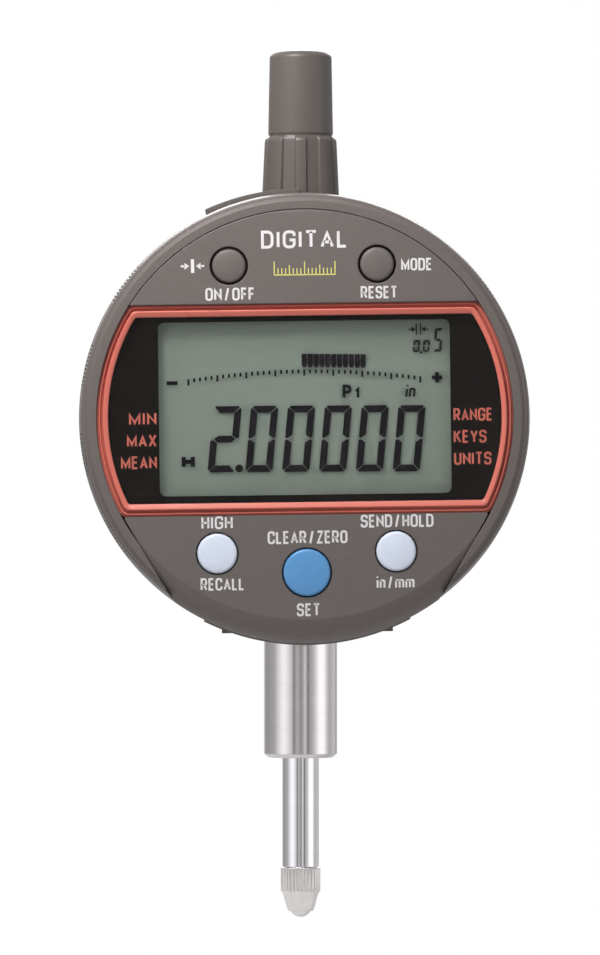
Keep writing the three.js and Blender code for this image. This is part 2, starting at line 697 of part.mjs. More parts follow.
place(face, 'bezel_ring', bezelRing(), 'body');
place(face, 'upper_panel', upperPanel(), 'body');
place(face, 'lower_panel', lowerPanel(), 'body');
place(face, 'window_frame', windowFrame(), 'red');
place(face, 'window_lens', windowLens(), 'lens');
place(face, 'display_carrier', displayCarrier(), 'black');
place(face, 'display_glass', box(
  -GLASS_HALF_WIDTH, GLASS_HALF_WIDTH, -15.5, -13.9, GLASS_Z - GLASS_HALF_HEIGHT, GLASS_Z + GLASS_HALF_HEIGHT,
), 'glass');
for (const [name, side] of [['upper', 1], ['lower', -1]]) {
  const z = GLASS_Z + side * (GLASS_HALF_HEIGHT - 1.3);
  place(face, `${name}_contact_strip`, box(-19, 19, -13.8, BOARD_FRONT - 0.1, z - 0.9, z + 0.9), 'rubber');
}
place(face, 'display_board', displayBoard(), 'board');
place(face, 'processor_chip', box(-15.5, -8, BOARD_BACK + 0.05, BOARD_BACK + 1.1, 5, 12.5), 'black');
place(face, 'face_plate', facePlate(), 'black');
place(face, 'cell_spring_contact', box(-2.5, 2.5, BOARD_BACK + 0.05, BOARD_BACK + 0.25, -21, -11), 'nickel');
place(face, 'cell_side_contact', box(11.5, 11.8, BOARD_BACK + 0.05, PLATE_FRONT - 0.3, -20, -13), 'nickel');
SCREW_ANGLES.forEach((degrees, i) => {
  const [x, z] = onCircle(SCREW_CIRCLE_R, degrees);
  place(face, `face_screw_${i + 1}`, screwY(x, z, PLATE_BACK - 0.05, -14.8, 1.6, 0.8), 'steel');
});
BUTTONS.forEach((item) => {
  place(face, item.name, button(item), item.colour);
});
place(face, 'upper_switch_sheet', switchSheet(BUTTONS.slice(0, 2), 12, 17.4, 21.5), 'film');
place(face, 'lower_switch_sheet', switchSheet(BUTTONS.slice(2), 14, -22.0, -15.2), 'film');
place(face, 'battery_tray', batteryTray(), 'body');
place(face, 'coin_cell', coinCell(), 'steel');

export default indicator;
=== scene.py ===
"""The looks of a digital dial indicator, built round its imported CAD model.

Shapes are worked out in millimetres about the head's centre, with the display looking towards -Y,
and turned into metres in the row frame when a piece is placed.
"""
import json
import math

import bmesh
import bpy
from mathutils import Matrix, Vector

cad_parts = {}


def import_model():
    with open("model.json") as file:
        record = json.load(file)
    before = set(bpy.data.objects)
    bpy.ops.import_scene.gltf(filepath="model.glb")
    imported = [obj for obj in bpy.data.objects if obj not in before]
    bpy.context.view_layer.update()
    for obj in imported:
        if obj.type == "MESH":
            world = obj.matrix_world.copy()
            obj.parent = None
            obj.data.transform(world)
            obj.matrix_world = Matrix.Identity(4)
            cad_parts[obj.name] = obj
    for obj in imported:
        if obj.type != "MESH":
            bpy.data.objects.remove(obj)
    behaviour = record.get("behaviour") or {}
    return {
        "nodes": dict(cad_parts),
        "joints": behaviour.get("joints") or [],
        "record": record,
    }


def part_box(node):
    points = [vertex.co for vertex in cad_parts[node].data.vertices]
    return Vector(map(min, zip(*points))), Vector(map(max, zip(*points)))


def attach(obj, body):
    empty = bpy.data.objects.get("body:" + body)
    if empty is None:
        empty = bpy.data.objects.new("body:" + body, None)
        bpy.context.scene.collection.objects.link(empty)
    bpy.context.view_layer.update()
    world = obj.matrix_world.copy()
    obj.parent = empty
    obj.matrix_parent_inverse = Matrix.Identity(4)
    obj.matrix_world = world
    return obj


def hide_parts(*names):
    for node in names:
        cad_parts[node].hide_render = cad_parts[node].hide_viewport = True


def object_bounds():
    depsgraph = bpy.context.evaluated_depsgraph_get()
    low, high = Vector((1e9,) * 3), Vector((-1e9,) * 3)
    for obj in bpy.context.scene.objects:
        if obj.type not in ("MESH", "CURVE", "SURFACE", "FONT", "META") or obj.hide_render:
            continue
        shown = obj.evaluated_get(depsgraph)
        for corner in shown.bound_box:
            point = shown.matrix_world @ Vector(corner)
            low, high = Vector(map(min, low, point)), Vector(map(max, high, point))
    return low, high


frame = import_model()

CAD_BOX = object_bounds()
MM = 0.001

# ---------------------------------------------------------------- places taken from the frame

JOINTS = {joint["name"]: joint for joint in frame["joints"]}
SLOT_OF = {row["node"]: row["material_slot"] for row in frame["record"]["subparts"]}
BODY_OF = {
    node: body for body, nodes in frame["record"]["behaviour"]["bodies"].items() for node in nodes
}


def box_mm(node):
    """A CAD node's lowest and highest corners, in millimetres."""
    low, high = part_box(node)
    return low / MM, high / MM


def middle(node):
    low, high = box_mm(node)
    return (low + high) / 2


def width(node):
    low, high = box_mm(node)
    return high.x - low.x


FACE_CENTRE = Vector(JOINTS["face_turn"]["pos_m"]) / MM
HEAD_Z = FACE_CENTRE.z
TRAY_AXIS = JOINTS["tray_slide"]["axis"]
FACE_TILT = math.atan2(TRAY_AXIS[0], -TRAY_AXIS[2])

# Row frame placements of what is drawn about the head's centre and about the turned face's centre.
HEAD = Matrix.Scale(MM, 4) @ Matrix.Translation((0, 0, HEAD_Z))
FACE = Matrix.Scale(MM, 4) @ Matrix.Translation(FACE_CENTRE) @ Matrix.Rotation(-FACE_TILT, 4, "Y")
TO_FACE = FACE.inverted() @ Matrix.Scale(MM, 4)

BEZEL_BACK = box_mm("bezel_ring")[1].y
RIM_R = width("bezel_ring") / 2
PANEL_FRONT, PANEL_BACK = (corner.y for corner in box_mm("upper_panel"))
FRAME_FRONT = box_mm("window_frame")[0].y
LENS_FRONT, LENS_BACK = (corner.y for corner in box_mm("window_lens"))
TRAY_FRONT, TRAY_BACK = (corner.y for corner in box_mm("coin_cell"))
HOUSING_BACK = box_mm("cover_gasket")[0].y
COVER_FRONT = box_mm("back_cover")[0].y
COVER_R = width("back_cover") / 2
HOUSING_R = width("rear_housing") / 2
STEM_R = width("stem") / 2
SPINDLE_R = width("spindle") / 2
STEM_LOW, STEM_HIGH = (corner.z - HEAD_Z for corner in box_mm("stem"))
SPINDLE_LOW, SPINDLE_HIGH = (corner.z - HEAD_Z for corner in box_mm("spindle"))
CAP_LOW, CAP_HIGH = (corner.z - HEAD_Z for corner in box_mm("spindle_cap"))
BALL_R = width("contact_ball") / 2
BALL_Z = middle("contact_ball").z - HEAD_Z
RING_FRONT = PANEL_FRONT - 0.04  # all but level with the panels
FLANGE_FRONT = RING_FRONT + 0.4
HOUSING_FRONT = BEZEL_BACK + 0.8

# ---------------------------------------------------------------- sizes drawn from here

PANEL_R = 26.58
RING_INNER_R = 26.65
FRAME_R = 26.38
WINDOW_TOP = 14.41
WINDOW_BOTTOM = -12.26
UPPER_EDGE = 14.53
BAND_INSET = 1.23               # from the red frame's outer edge to the lens, at its sides
STRAIGHT_INSET = 1.15           # how much wider the frame's top and bottom are than its sides
VIEW_HALF_WIDTH = 18.66         # the clear part of the lens
VIEW_TOP = 12.32
VIEW_BOTTOM = -9.9
CHIN_TOP = (23.35, -12.45)
CHIN_RIM = (17.85, -21.85)
CHIN_FLAT_R = 27.4
CHIN_FLAT_Z = 1.52
CHIN_OUTER_R = 28.95
BUTTON_LIP = 0.35
BUTTON_GAP = 0.18
WIDE_BUTTON_GAP = 0.26          # round the two buttons above the display
BEZEL_BORE_R = 27.6
NECK_BORE_R = 2.9
PRINT_PROUD = 0.02              # how far printed ink stands in front of a panel
CARRIER_R = 27.0

# ---------------------------------------------------------------- materials


class Finish:
    """A node material: a Principled shader with helpers for grain, mottling and bump."""

    def __init__(self, name, colour, roughness, metallic=0.0, specular=0.5):
        self.material = bpy.data.materials.new(name)
        self.material.use_nodes = True
        self.nodes = self.material.node_tree.nodes
        self.links = self.material.node_tree.links
        self.shader = self.nodes["Principled BSDF"]
        self.colour = (*colour, 1.0)
        self.shader.inputs["Base Color"].default_value = self.colour
        self.shader.inputs["Roughness"].default_value = roughness
        self.shader.inputs["Metallic"].default_value = metallic
        self.shader.inputs["Specular IOR Level"].default_value = specular
        self.place = self.nodes.new("ShaderNodeTexCoord").outputs["Object"]

    def add(self, kind, values):
        """A new node with the given values in its inputs."""
        node = self.nodes.new(f"ShaderNode{kind}")
        for name, value in values.items():
            node.inputs[name].default_value = value
        return node

    def noise(self, size_mm, detail=2.0, stretch=(1, 1, 1)):
        """Noise with features of about the given size, drawn out by stretch along each axis."""
        mapping = self.add("Mapping", {"Scale": [1 / (size_mm * MM * s) for s in stretch]})
        texture = self.add("TexNoise", {"Scale": 1.0, "Detail": detail})
        self.links.new(self.place, mapping.inputs["Vector"])
        self.links.new(mapping.outputs["Vector"], texture.inputs["Vector"])
        return texture.outputs["Fac"]

    def between(self, source, low, high):
        """Spreads the middle of a noise, from 0.3 to 0.7, over a range."""
        ranged = self.add("MapRange", {"From Min": 0.3, "From Max": 0.7, "To Min": low, "To Max": high})
        self.links.new(source, ranged.inputs["Value"])
        return ranged.outputs["Result"]

    def mottle(self, source, amount):
        """Varies the base colour, darker and lighter by a share of itself."""
        mix = self.nodes.new("ShaderNodeMix")
        mix.data_type = "RGBA"
        base = self.colour[:3]
        mix.inputs["A"].default_value = (*[c * (1 - amount) for c in base], 1.0)
        mix.inputs["B"].default_value = (*[min(1.0, c * (1 + amount)) for c in base], 1.0)
        self.links.new(self.between(source, 0.0, 1.0), mix.inputs["Factor"])
        self.links.new(mix.outputs["Result"], self.shader.inputs["Base Color"])

    def rough(self, source, low, high):
        self.links.new(self.between(source, low, high), self.shader.inputs["Roughness"])

    def bump(self, source, height_mm, strength=1.0):
        bump = self.add("Bump", {"Strength": strength, "Distance": height_mm * MM})
        self.links.new(source, bump.inputs["Height"])
        self.links.new(bump.outputs["Normal"], self.shader.inputs["Normal"])


def moulded(name, colour, roughness, grain_mm=0.16, depth_mm=0.006):
    """Moulded plastic with a fine spark-eroded grain and faint flow mottling."""
    finish = Finish(name, colour, roughness, specular=0.45)
    finish.mottle(finish.noise(0.3, 4.0), 0.06)
    finish.rough(finish.noise(0.9, 2.0), roughness - 0.05, roughness + 0.06)
    finish.bump(finish.noise(grain_mm, 2.0), depth_mm)
    return finish.material


def satin(name, colour, roughness, specular=0.5):
    """Smooth plastic or ink with only a little unevenness."""
    finish = Finish(name, colour, roughness, specular=specular)
    finish.mottle(finish.noise(1.8, 2.0), 0.03)
    finish.rough(finish.noise(0.6), roughness - 0.04, roughness + 0.05)
    finish.bump(finish.noise(0.35, 2.0), 0.0015)
    return finish.material


def metal(name, colour, roughness, lines, depth_mm, mottle=0.03):
    """Machined metal: lines gives how far the tool marks are drawn out along X, Y and Z."""
    finish = Finish(name, colour, roughness, metallic=1.0)
    marks = finish.noise(0.09, 3.0, lines)
    finish.mottle(finish.noise(1.5, 3.0, lines), mottle)
    finish.rough(marks, max(0.02, roughness - 0.05), roughness + 0.07)
    finish.bump(marks, depth_mm)
    return finish.material


def clear_lens(name):
    finish = Finish(name, (0.97, 0.98, 0.98), 0.03, specular=0.5)
    finish.shader.inputs["Transmission Weight"].default_value = 1.0
    finish.shader.inputs["IOR"].default_value = 1.22
    finish.bump(finish.noise(6.0, 1.0), 0.002, 0.3)
    return finish.material


def crystal_back(name, colour):
    """The display's reflector: a grey-green sheet with a very fine sparkle."""
    finish = Finish(name, colour, 0.5, specular=0.3)
    finish.mottle(finish.noise(0.12, 2.0), 0.06)
    finish.bump(finish.noise(0.1, 2.0), 0.004)
    return finish.material


def circuit(name):
    """Solder mask over copper tracks."""
    finish = Finish(name, (0.02, 0.11, 0.05), 0.35)
    brick = finish.add("TexBrick", {
        "Scale": 700.0, "Color1": (0.02, 0.11, 0.05, 1), "Color2": (0.03, 0.15, 0.07, 1),
        "Mortar": (0.05, 0.22, 0.1, 1), "Mortar Size": 0.04,
    })
    finish.links.new(finish.place, brick.inputs["Vector"])
    finish.links.new(brick.outputs["Color"], finish.shader.inputs["Base Color"])
    finish.bump(finish.noise(0.4, 2.0), 0.01)
    return finish.material


MATERIALS = {name: make(name, *values) for make, name, *values in (
    (moulded, "body_plastic", (0.131, 0.112, 0.105), 0.48),
    (moulded, "cap_plastic", (0.1, 0.085, 0.078), 0.38, 0.14, 0.005),
    (moulded, "cover_rubber", (0.1, 0.086, 0.079), 0.68, 0.2, 0.01),
    (moulded, "black_rubber", (0.02, 0.02, 0.02), 0.7),
    (moulded, "black_plastic", (0.012, 0.012, 0.012), 0.5),
    (satin, "red_trim", (0.62, 0.15, 0.11), 0.44),
    (satin, "pale_button", (0.66, 0.71, 0.83), 0.36),
    (satin, "blue_button", (0.1, 0.29, 0.57), 0.34),
    (satin, "amber_film", (0.5, 0.2, 0.04), 0.3),
    (satin, "white_ink", (0.7, 0.67, 0.68), 0.5, 0.3),
    (satin, "yellow_ink", (0.7, 0.66, 0.17), 0.5),
    (satin, "red_ink", (0.78, 0.2, 0.145), 0.5, 0.2),
    (satin, "window_print", (0.011, 0.008, 0.006), 0.5, 0.1),
    (satin, "crystal", (0.016, 0.013, 0.016), 0.5, 0.1),
    (crystal_back, "display_glass", (0.322, 0.37, 0.311)),
    (clear_lens, "clear_lens"),
    (satin, "scale_glass", (0.45, 0.5, 0.48), 0.12),
    (metal, "ground_steel", (0.73, 0.7, 0.71), 0.15, (12, 12, 1), 0.0012, 0.02),
    (metal, "spring_steel", (0.6, 0.6, 0.62), 0.22, (1, 1, 1), 0.002),
    (metal, "screw_steel", (0.55, 0.54, 0.53), 0.28, (6, 1, 1), 0.003),
    (metal, "cell_steel", (0.66, 0.66, 0.66), 0.24, (8, 1, 1), 0.002),
    (metal, "polished_spindle", (0.78, 0.77, 0.79), 0.05, (12, 12, 1), 0.0004, 0.02),
    (metal, "matte_nickel", (0.87, 0.83, 0.82), 0.36, (1, 1, 1), 0.008, 0.06),
    (metal, "carbide", (0.8, 0.77, 0.8), 0.12, (1, 1, 1), 0.0006, 0.02),
    (metal, "bronze", (0.62, 0.43, 0.2), 0.25, (1, 1, 1), 0.003),
    (circuit, "circuit_board"),
)}

# ---------------------------------------------------------------- outlines and solids, in millimetres


def on_circle(radius, degrees):
    angle = math.radians(degrees)
    return radius * math.cos(angle), radius * math.sin(angle)


def arc(radius, start, end, steps=24, x=0.0, z=0.0):
    """Points on an arc, from one angle in degrees to another."""
    spots = [on_circle(radius, start + (end - start) * i / steps) for i in range(steps + 1)]
    return [(x + a, z + b) for a, b in spots]


def circle(radius, x=0.0, z=0.0, steps=64):
    return arc(radius, 0, 360 * (steps - 1) / steps, steps - 1, x, z)


def curved(start, corner, end, steps):
    """Points on the curve from start to end that the corner draws towards itself."""
    shares = [step / steps for step in range(steps + 1)]
    return [tuple(start * (1 - t) ** 2 + corner * 2 * t * (1 - t) + end * t ** 2) for t in shares]


def rounded(points, closed=True, steps=5):
    """Replaces each corner (a, b, size) of an outline with a curve that starts that far from it."""
    done = []
    count = len(points)
    for i, corner in enumerate(points):
        here = Vector(corner[:2])
        size = corner[2] if len(corner) > 2 else 0
        if size == 0 or (not closed and i in (0, count - 1)):
            done.append(tuple(here))
            continue
        before = Vector(points[i - 1][:2]) - here
        after = Vector(points[(i + 1) % count][:2]) - here
        start = here + before.normalized() * min(size, before.length * 0.49)
        end = here + after.normalized() * min(size, after.length * 0.49)
        done += curved(start, here, end, steps)
    return done


def rounded_box(x0, x1, z0, z1, size):
    return rounded([(x0, z0, size), (x1, z0, size), (x1, z1, size), (x0, z1, size)])


def band(radius, bottom, top, inset=0.0, corner=0.6, steps=40):
    """The outline of the part of a disc between two heights, drawn in by inset, with soft corners."""
    radius -= inset
    bottom += inset * STRAIGHT_INSET
    top -= inset * STRAIGHT_INSET
    low = math.degrees(math.asin(bottom / radius))
    high = math.degrees(math.asin(top / radius))
    trim = math.degrees(corner / radius)
    points = []
    for side in (1, -1):
        heights = (low, high) if side == 1 else (high, low)
        inner = (heights[0] + side * trim, heights[1] - side * trim)
        for number, height in enumerate(heights):
            x, z = on_circle(radius, height)
            corner_point = Vector((side * x, z))
            along_arc = Vector(on_circle(radius, inner[number]))
            along_arc.x *= side
            along_line = corner_point - Vector((side * corner, 0))
            ends = (along_line, along_arc) if number == 0 else (along_arc, along_line)
            points += curved(ends[0], corner_point, ends[1], 6)
            if number == 0:
                curve = arc(radius, inner[0], inner[1], steps)[1:-1]
                points += [(side * a, b) for a, b in curve]
    return points


def bridge(bm, a, b):
    """Faces between two rings of vertices. A ring of one vertex is a point."""
    count = max(len(a), len(b))
    for i in range(count):
        j = (i + 1) % count
        corners = [a[i % len(a)], a[j % len(a)], b[j % len(b)], b[i % len(b)]]
        unique = list(dict.fromkeys(corners))
        if len(unique) > 2:
            bm.faces.new(unique)


def lofted(rings, loop=False):
    """A closed solid through rings of points. Loop joins the last ring to the first."""
    bm = bmesh.new()
    made = [[bm.verts.new(point) for point in ring] for ring in rings]
    for a, b in zip(made, made[1:]):
        bridge(bm, a, b)
    if loop:
        bridge(bm, made[-1], made[0])
    else:
        for ring in (made[0], made[-1]):
            if len(ring) > 1:
                bm.faces.new(ring)
    bmesh.ops.recalc_face_normals(bm, faces=bm.faces)
    return bm


def turned(profile, sides=128, axis="Y", x=0.0, z=0.0):
    """A solid turned about Y or Z. The profile is (radius, along), on the axis at both ends or a loop."""
    loop = profile[0][0] > 0 or profile[-1][0] > 0
    rings = []
    for radius, along in profile:
        count = sides if radius > 1e-6 else 1
        ring = []
        for i in range(count):
            a, b = on_circle(radius, 360 * i / sides)
            ring.append((a + x, along, b + z) if axis == "Y" else (a + x, b, along))
        rings.append(ring)
    return lofted(rings, loop)


def linked(name, data):
    """A new object in the scene."""
    made = bpy.data.objects.new(name, data)
    bpy.context.scene.collection.objects.link(made)
    return made


def mesh_of(bm, name):
    """Turns a solid into a mesh, and frees it."""
    mesh = bpy.data.meshes.new(name)
    bm.to_mesh(mesh)
    bm.free()
    return mesh


def evaluated(thing):
    """The solid that an object's curve or modifiers make, with doubled points merged."""
    mesh = bpy.data.meshes.new_from_object(thing.evaluated_get(bpy.context.evaluated_depsgraph_get()))
    bm = bmesh.new()
    bm.from_mesh(mesh)
    bpy.data.meshes.remove(mesh)
    bmesh.ops.remove_doubles(bm, verts=bm.verts, dist=1e-4)
    return bm


def drum(radius, low, high, sides, axis="Y", x=0.0, z=0.0):
    """A plain cylinder, for cutting with or for joining to something."""
    return turned([(0, low), (radius, low), (radius, high), (0, high)], sides, axis, x, z)


def slab(outlines, front, back, bevel=0.12, bevel_steps=3):
    """A plate with rounded edges. Its first outline, in X and Z, is its edge and the others are holes."""
    curve = bpy.data.curves.new("outline", "CURVE")
    curve.dimensions = "2D"
    curve.fill_mode = "BOTH"
    for outline in outlines:
        spline = curve.splines.new("POLY")
        spline.points.add(len(outline) - 1)
        for point, (x, z) in zip(spline.points, outline):
            point.co = (x, z, 0, 1)
        spline.use_cyclic_u = True
    curve.extrude = (back - front) / 2 - bevel
    curve.bevel_depth = bevel
    curve.bevel_resolution = bevel_steps
    curve.offset = -bevel
    drawn = linked("outline", curve)
    bm = evaluated(drawn)
    bpy.data.objects.remove(drawn)
    bpy.data.curves.remove(curve)
    moved(bm, Matrix.Translation((0, (front + back) / 2, 0)) @ Matrix.Rotation(math.pi / 2, 4, "X"))
    bmesh.ops.recalc_face_normals(bm, faces=bm.faces)
    return bm


def prism(outline, front, back):
    return lofted([[(x, y, z) for x, z in outline] for y in (front, back)])


def block(x0, x1, y0, y1, z0, z1, bevel=0.0):
    if bevel:
        return slab([[(x0, z0), (x1, z0), (x1, z1), (x0, z1)]], y0, y1, bevel, 2)
    return prism([(x0, z0), (x1, z0), (x1, z1), (x0, z1)], y0, y1)


def moved(bm, matrix):
    bmesh.ops.transform(bm, matrix=matrix, verts=bm.verts)
    return bm


def joined(*parts):
    """Several solids in one mesh, side by side."""
    whole = bmesh.new()
    for part in parts:
        mesh = mesh_of(part, "part")
        whole.from_mesh(mesh)
        bpy.data.meshes.remove(mesh)
    return whole


def carved(body, operation, tools):
    """Cuts tools from a body, joins them to it or keeps what they share: exact booleans."""
    target, *others = [linked("temporary", mesh_of(bm, "temporary")) for bm in (body, *tools)]
    for other in others:
        modifier = target.modifiers.new("boolean", "BOOLEAN")
        modifier.operation = operation
        modifier.solver = "EXACT"
        modifier.object = other
    bpy.context.view_layer.update()
    bm = evaluated(target)
    for used in (target, *others):
        data = used.data
        bpy.data.objects.remove(used)
        bpy.data.meshes.remove(data)
    return bm


def put(name, bm, placement, material, like, replaces=True, angle=32, bevel=0.0):
    """Makes a piece from a solid: it rides with the CAD node that it is like, and may stand for it."""
    mesh = mesh_of(moved(bm, placement), name)
    mesh.polygons.foreach_set("use_smooth", [True] * len(mesh.polygons))
    mesh.set_sharp_from_angle(angle=math.radians(angle))
    mesh.materials.append(MATERIALS[material])
    piece = linked(name, mesh)
    if bevel:
        edge = piece.modifiers.new("edge", "BEVEL")
        edge.width = bevel * MM
        edge.segments = 2
        edge.limit_method = "ANGLE"
        edge.angle_limit = math.radians(40)
    weight = piece.modifiers.new("normals", "WEIGHTED_NORMAL")
    weight.keep_sharp = True
    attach(piece, BODY_OF[like])
    if replaces:
        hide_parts(like)


def stand_in(node, bm, placement, angle=32, bevel=0.0):
    """The finer piece that a CAD node is replaced with, in the node's own material."""
    put(node + "_fine", bm, placement, SLOT_OF[node], node, angle=angle, bevel=bevel)


# ---------------------------------------------------------------- display head: bezel and panels

PAD_CENTRES = (37.3, 14.1, -8.8, -31.6)
PAD_ANGLES = [angle for pad in PAD_CENTRES for angle in (pad, 180 - pad)]
PAD_HALF = 5.7
PAD_RIDGES = 11
PAD_DEPTH = 0.22
WALL_STEPS = 16


def apart(degrees, centre):
    """The angle from centre to a direction, the short way round."""
    return (degrees - centre + 180) % 360 - 180


def pad_depth(degrees, along):
    """How far the grip's grooves are cut into the rim at an angle, and at a depth along its wall."""
    start, end = RING_FRONT + 1.6, BEZEL_BACK - 1.0
    if not start < along < end:
        return 0.0
    for centre in PAD_ANGLES:
        offset = apart(degrees, centre)
        if abs(offset) < PAD_HALF:
            phase = (offset + PAD_HALF) / (2 * PAD_HALF) * PAD_RIDGES
            return PAD_DEPTH * (0.5 - 0.5 * math.cos(2 * math.pi * phase))
    return 0.0


def rim_angles():
    """Angles round the rim, close together where the grip's ridges are."""
    angles = []
    degrees = 0.0
    while degrees < 360 - 1e-6:
        angles.append(degrees)
        near = any(abs(apart(degrees, centre)) < PAD_HALF + 1.5 for centre in PAD_ANGLES)
        degrees += 0.15 if near else 1.5
    return angles


def chin_wedge(allowance, far=-33.0):
    """The stretch of the face that the lower panel takes, widened by allowance each side."""
    (top_x, top_z), (rim_x, rim_z) = CHIN_TOP, CHIN_RIM
    far_x = top_x + (rim_x - top_x) / (rim_z - top_z) * (far - top_z)
    return [
        (-top_x - allowance, top_z + allowance), (-far_x - allowance, far),
        (far_x + allowance, far), (top_x + allowance, top_z + allowance),
    ]


def bezel_profile():
    """(radius, depth) round the ring's section, with points down the side wall for its grip."""
    wall = (RIM_R - 0.55, RING_FRONT + 0.7)
    section = rounded([
        (BEZEL_BORE_R, BEZEL_BACK), (RIM_R, BEZEL_BACK, 0.3), (*wall, 0.5), (28.42, FLANGE_FRONT, 0.12),
        (28.12, FLANGE_FRONT, 0.05), (27.7, RING_FRONT, 0.08), (RING_INNER_R, RING_FRONT, 0.05),
        (RING_INNER_R, PANEL_BACK), (BEZEL_BORE_R, PANEL_BACK + 0.2), (BEZEL_BORE_R, BEZEL_BACK),
    ], closed=False, steps=6)[:-1]
    filled = []
    for before, after in zip(section, section[1:] + section[:1]):
        filled.append(before)
        is_wall = abs(after[1] - before[1]) > 5 and before[0] > RIM_R - 1.0
        if is_wall:
            here, there = Vector(before), Vector(after)
            filled += [tuple(here.lerp(there, i / WALL_STEPS)) for i in range(1, WALL_STEPS)]
    return filled


def bezel_ring():
    """The ring, with a rolled edge, a thin flange and groups of grip ridges on its side wall."""
    rings = []
    for radius, along in bezel_profile():
        ring = []
        for degrees in rim_angles():
            cut = pad_depth(degrees, along) if radius > RIM_R - 0.8 else 0.0
            x, z = on_circle(radius - cut, degrees)
            ring.append((x, along, z))
        rings.append(ring)
    wedge = prism(chin_wedge(0.16), RING_FRONT - 1, 0)
    stand_in("bezel_ring", carved(lofted(rings, loop=True), "DIFFERENCE", [wedge]), FACE)


def button_hole(node):
    centre = TO_FACE @ middle(node)
    gap = WIDE_BUTTON_GAP if SLOT_OF[node] == "body_plastic" else BUTTON_GAP
    return circle(width(node) / 2 - BUTTON_LIP + gap, centre.x, centre.z)


def segment(radius, bottom):
    """The outline of the part of a disc above a height."""
    low = math.degrees(math.asin(bottom / radius))
    return arc(radius, low, 180 - low, 96)


def upper_panel():
    holes = [button_hole("button_power"), button_hole("button_menu")]
    panel = slab([segment(PANEL_R, UPPER_EDGE), *holes], PANEL_FRONT, PANEL_BACK, 0.15)
    stand_in("upper_panel", panel, FACE)


def lower_panel():
    """Flat in front of the buttons, then a chin that curves back to the rim."""
    chin = turned(rounded([
        (0, PANEL_FRONT), (CHIN_FLAT_R, PANEL_FRONT, 0.12), (28.75, -16.95, 0.6), (29.75, -16.15, 0.8),
        (30.4, -15.0, 0.9), (30.7, -13.4, 0.9), (31.3, BEZEL_BACK, 0.3), (0, BEZEL_BACK),
    ], closed=False, steps=6), 360, "Y", 0, CHIN_FLAT_Z)
    outline = rounded([(x, z, 0.5 if z > -20 else 0) for x, z in chin_wedge(0.0)])
    limit = drum(CHIN_OUTER_R, RING_FRONT - 1, BEZEL_BACK, 360)
    panel = carved(chin, "INTERSECT", [prism(outline, RING_FRONT - 1, BEZEL_BACK + 1), limit])
    door_half = width("battery_tray") / 2 + 0.12
    cutters = [
        drum(CARRIER_R + 0.3, PANEL_BACK, 0, 180),
        block(-door_half, door_half, TRAY_FRONT - 0.4, TRAY_BACK + 0.6, -31, -20),
    ]
    for node in ("button_peak", "button_hold", "button_zero"):
        cutters.append(prism(button_hole(node), RING_FRONT - 1, -12))
    stand_in("lower_panel", carved(panel, "DIFFERENCE", cutters), FACE, bevel=0.09)


def frame_loop(profile):
    """A closed moulding that follows the window: the profile is (inset, depth)."""
    rings = []
    for inset, along in profile:
        corner = max(0.12, 0.75 - inset * 0.35)
        outline = band(FRAME_R, WINDOW_BOTTOM, WINDOW_TOP, inset, corner)
        rings.append([(x, along, z) for x, z in outline])
    return lofted(rings, loop=True)


def window_frame():
    """A low ledge under the panels' edges, a thin lip, a dark line, then a band that slopes inwards."""
    back = PANEL_BACK
    lip = FRAME_FRONT + 0.3
    ledge = lip + 0.3
    moulding = frame_loop([
        (-0.22, back), (-0.22, ledge), (0.02, ledge), (0.02, lip + 0.06), (0.05, lip), (0.2, lip),
        (0.25, lip + 0.08), (0.28, lip + 0.5), (0.5, lip + 0.5), (0.52, FRAME_FRONT + 0.14),
        (0.6, FRAME_FRONT + 0.02), (0.7, FRAME_FRONT),
        (BAND_INSET - 0.08, LENS_FRONT - 0.06), (BAND_INSET, LENS_FRONT + 0.02), (BAND_INSET, back),
    ])
    stand_in("window_frame", moulding, FACE, angle=50)


# ---------------------------------------------------------------- display: lens, print and crystal

GLASS_FRONT, GLASS_BACK = (corner.y for corner in box_mm("display_glass"))
REFLECTOR_FRONT = GLASS_FRONT + 1.2
CRYSTAL_FRONT = REFLECTOR_FRONT - 0.3
SLANT = math.tan(math.radians(6))


def window_lens():
    outline = band(FRAME_R, WINDOW_BOTTOM, WINDOW_TOP, BAND_INSET + 0.02, 0.42)
    stand_in("window_lens", slab([outline], LENS_FRONT, LENS_BACK, 0.06), FACE)
    view = rounded_box(-VIEW_HALF_WIDTH, VIEW_HALF_WIDTH, VIEW_BOTTOM, VIEW_TOP, 0.9)
    mask_front = LENS_BACK + 0.03
    mask = slab([outline, view], mask_front, mask_front + 0.1, 0.01, 1)
    put("window_print", mask, FACE, "window_print", "window_lens", replaces=False)


def display_reflector():
    low, high = box_mm("display_glass")
    centre = TO_FACE @ middle("display_glass")
    half_x = (high.x - low.x) / 2 - 0.2
    half_z = (high.z - low.z) / 2 - 0.2
    bottom, top = centre.z - half_z, centre.z + half_z
    sheet = block(-half_x, half_x, REFLECTOR_FRONT, GLASS_BACK, bottom, top, 0.05)
    put("display_reflector", sheet, FACE, "display_glass", "display_glass")


def flipped(points, x_sign, z_sign):
    return [(x * x_sign, z * z_sign) for x, z in points]


DIGIT_BARS = {"0": "abcdef", "2": "abged", "5": "afgcd"}


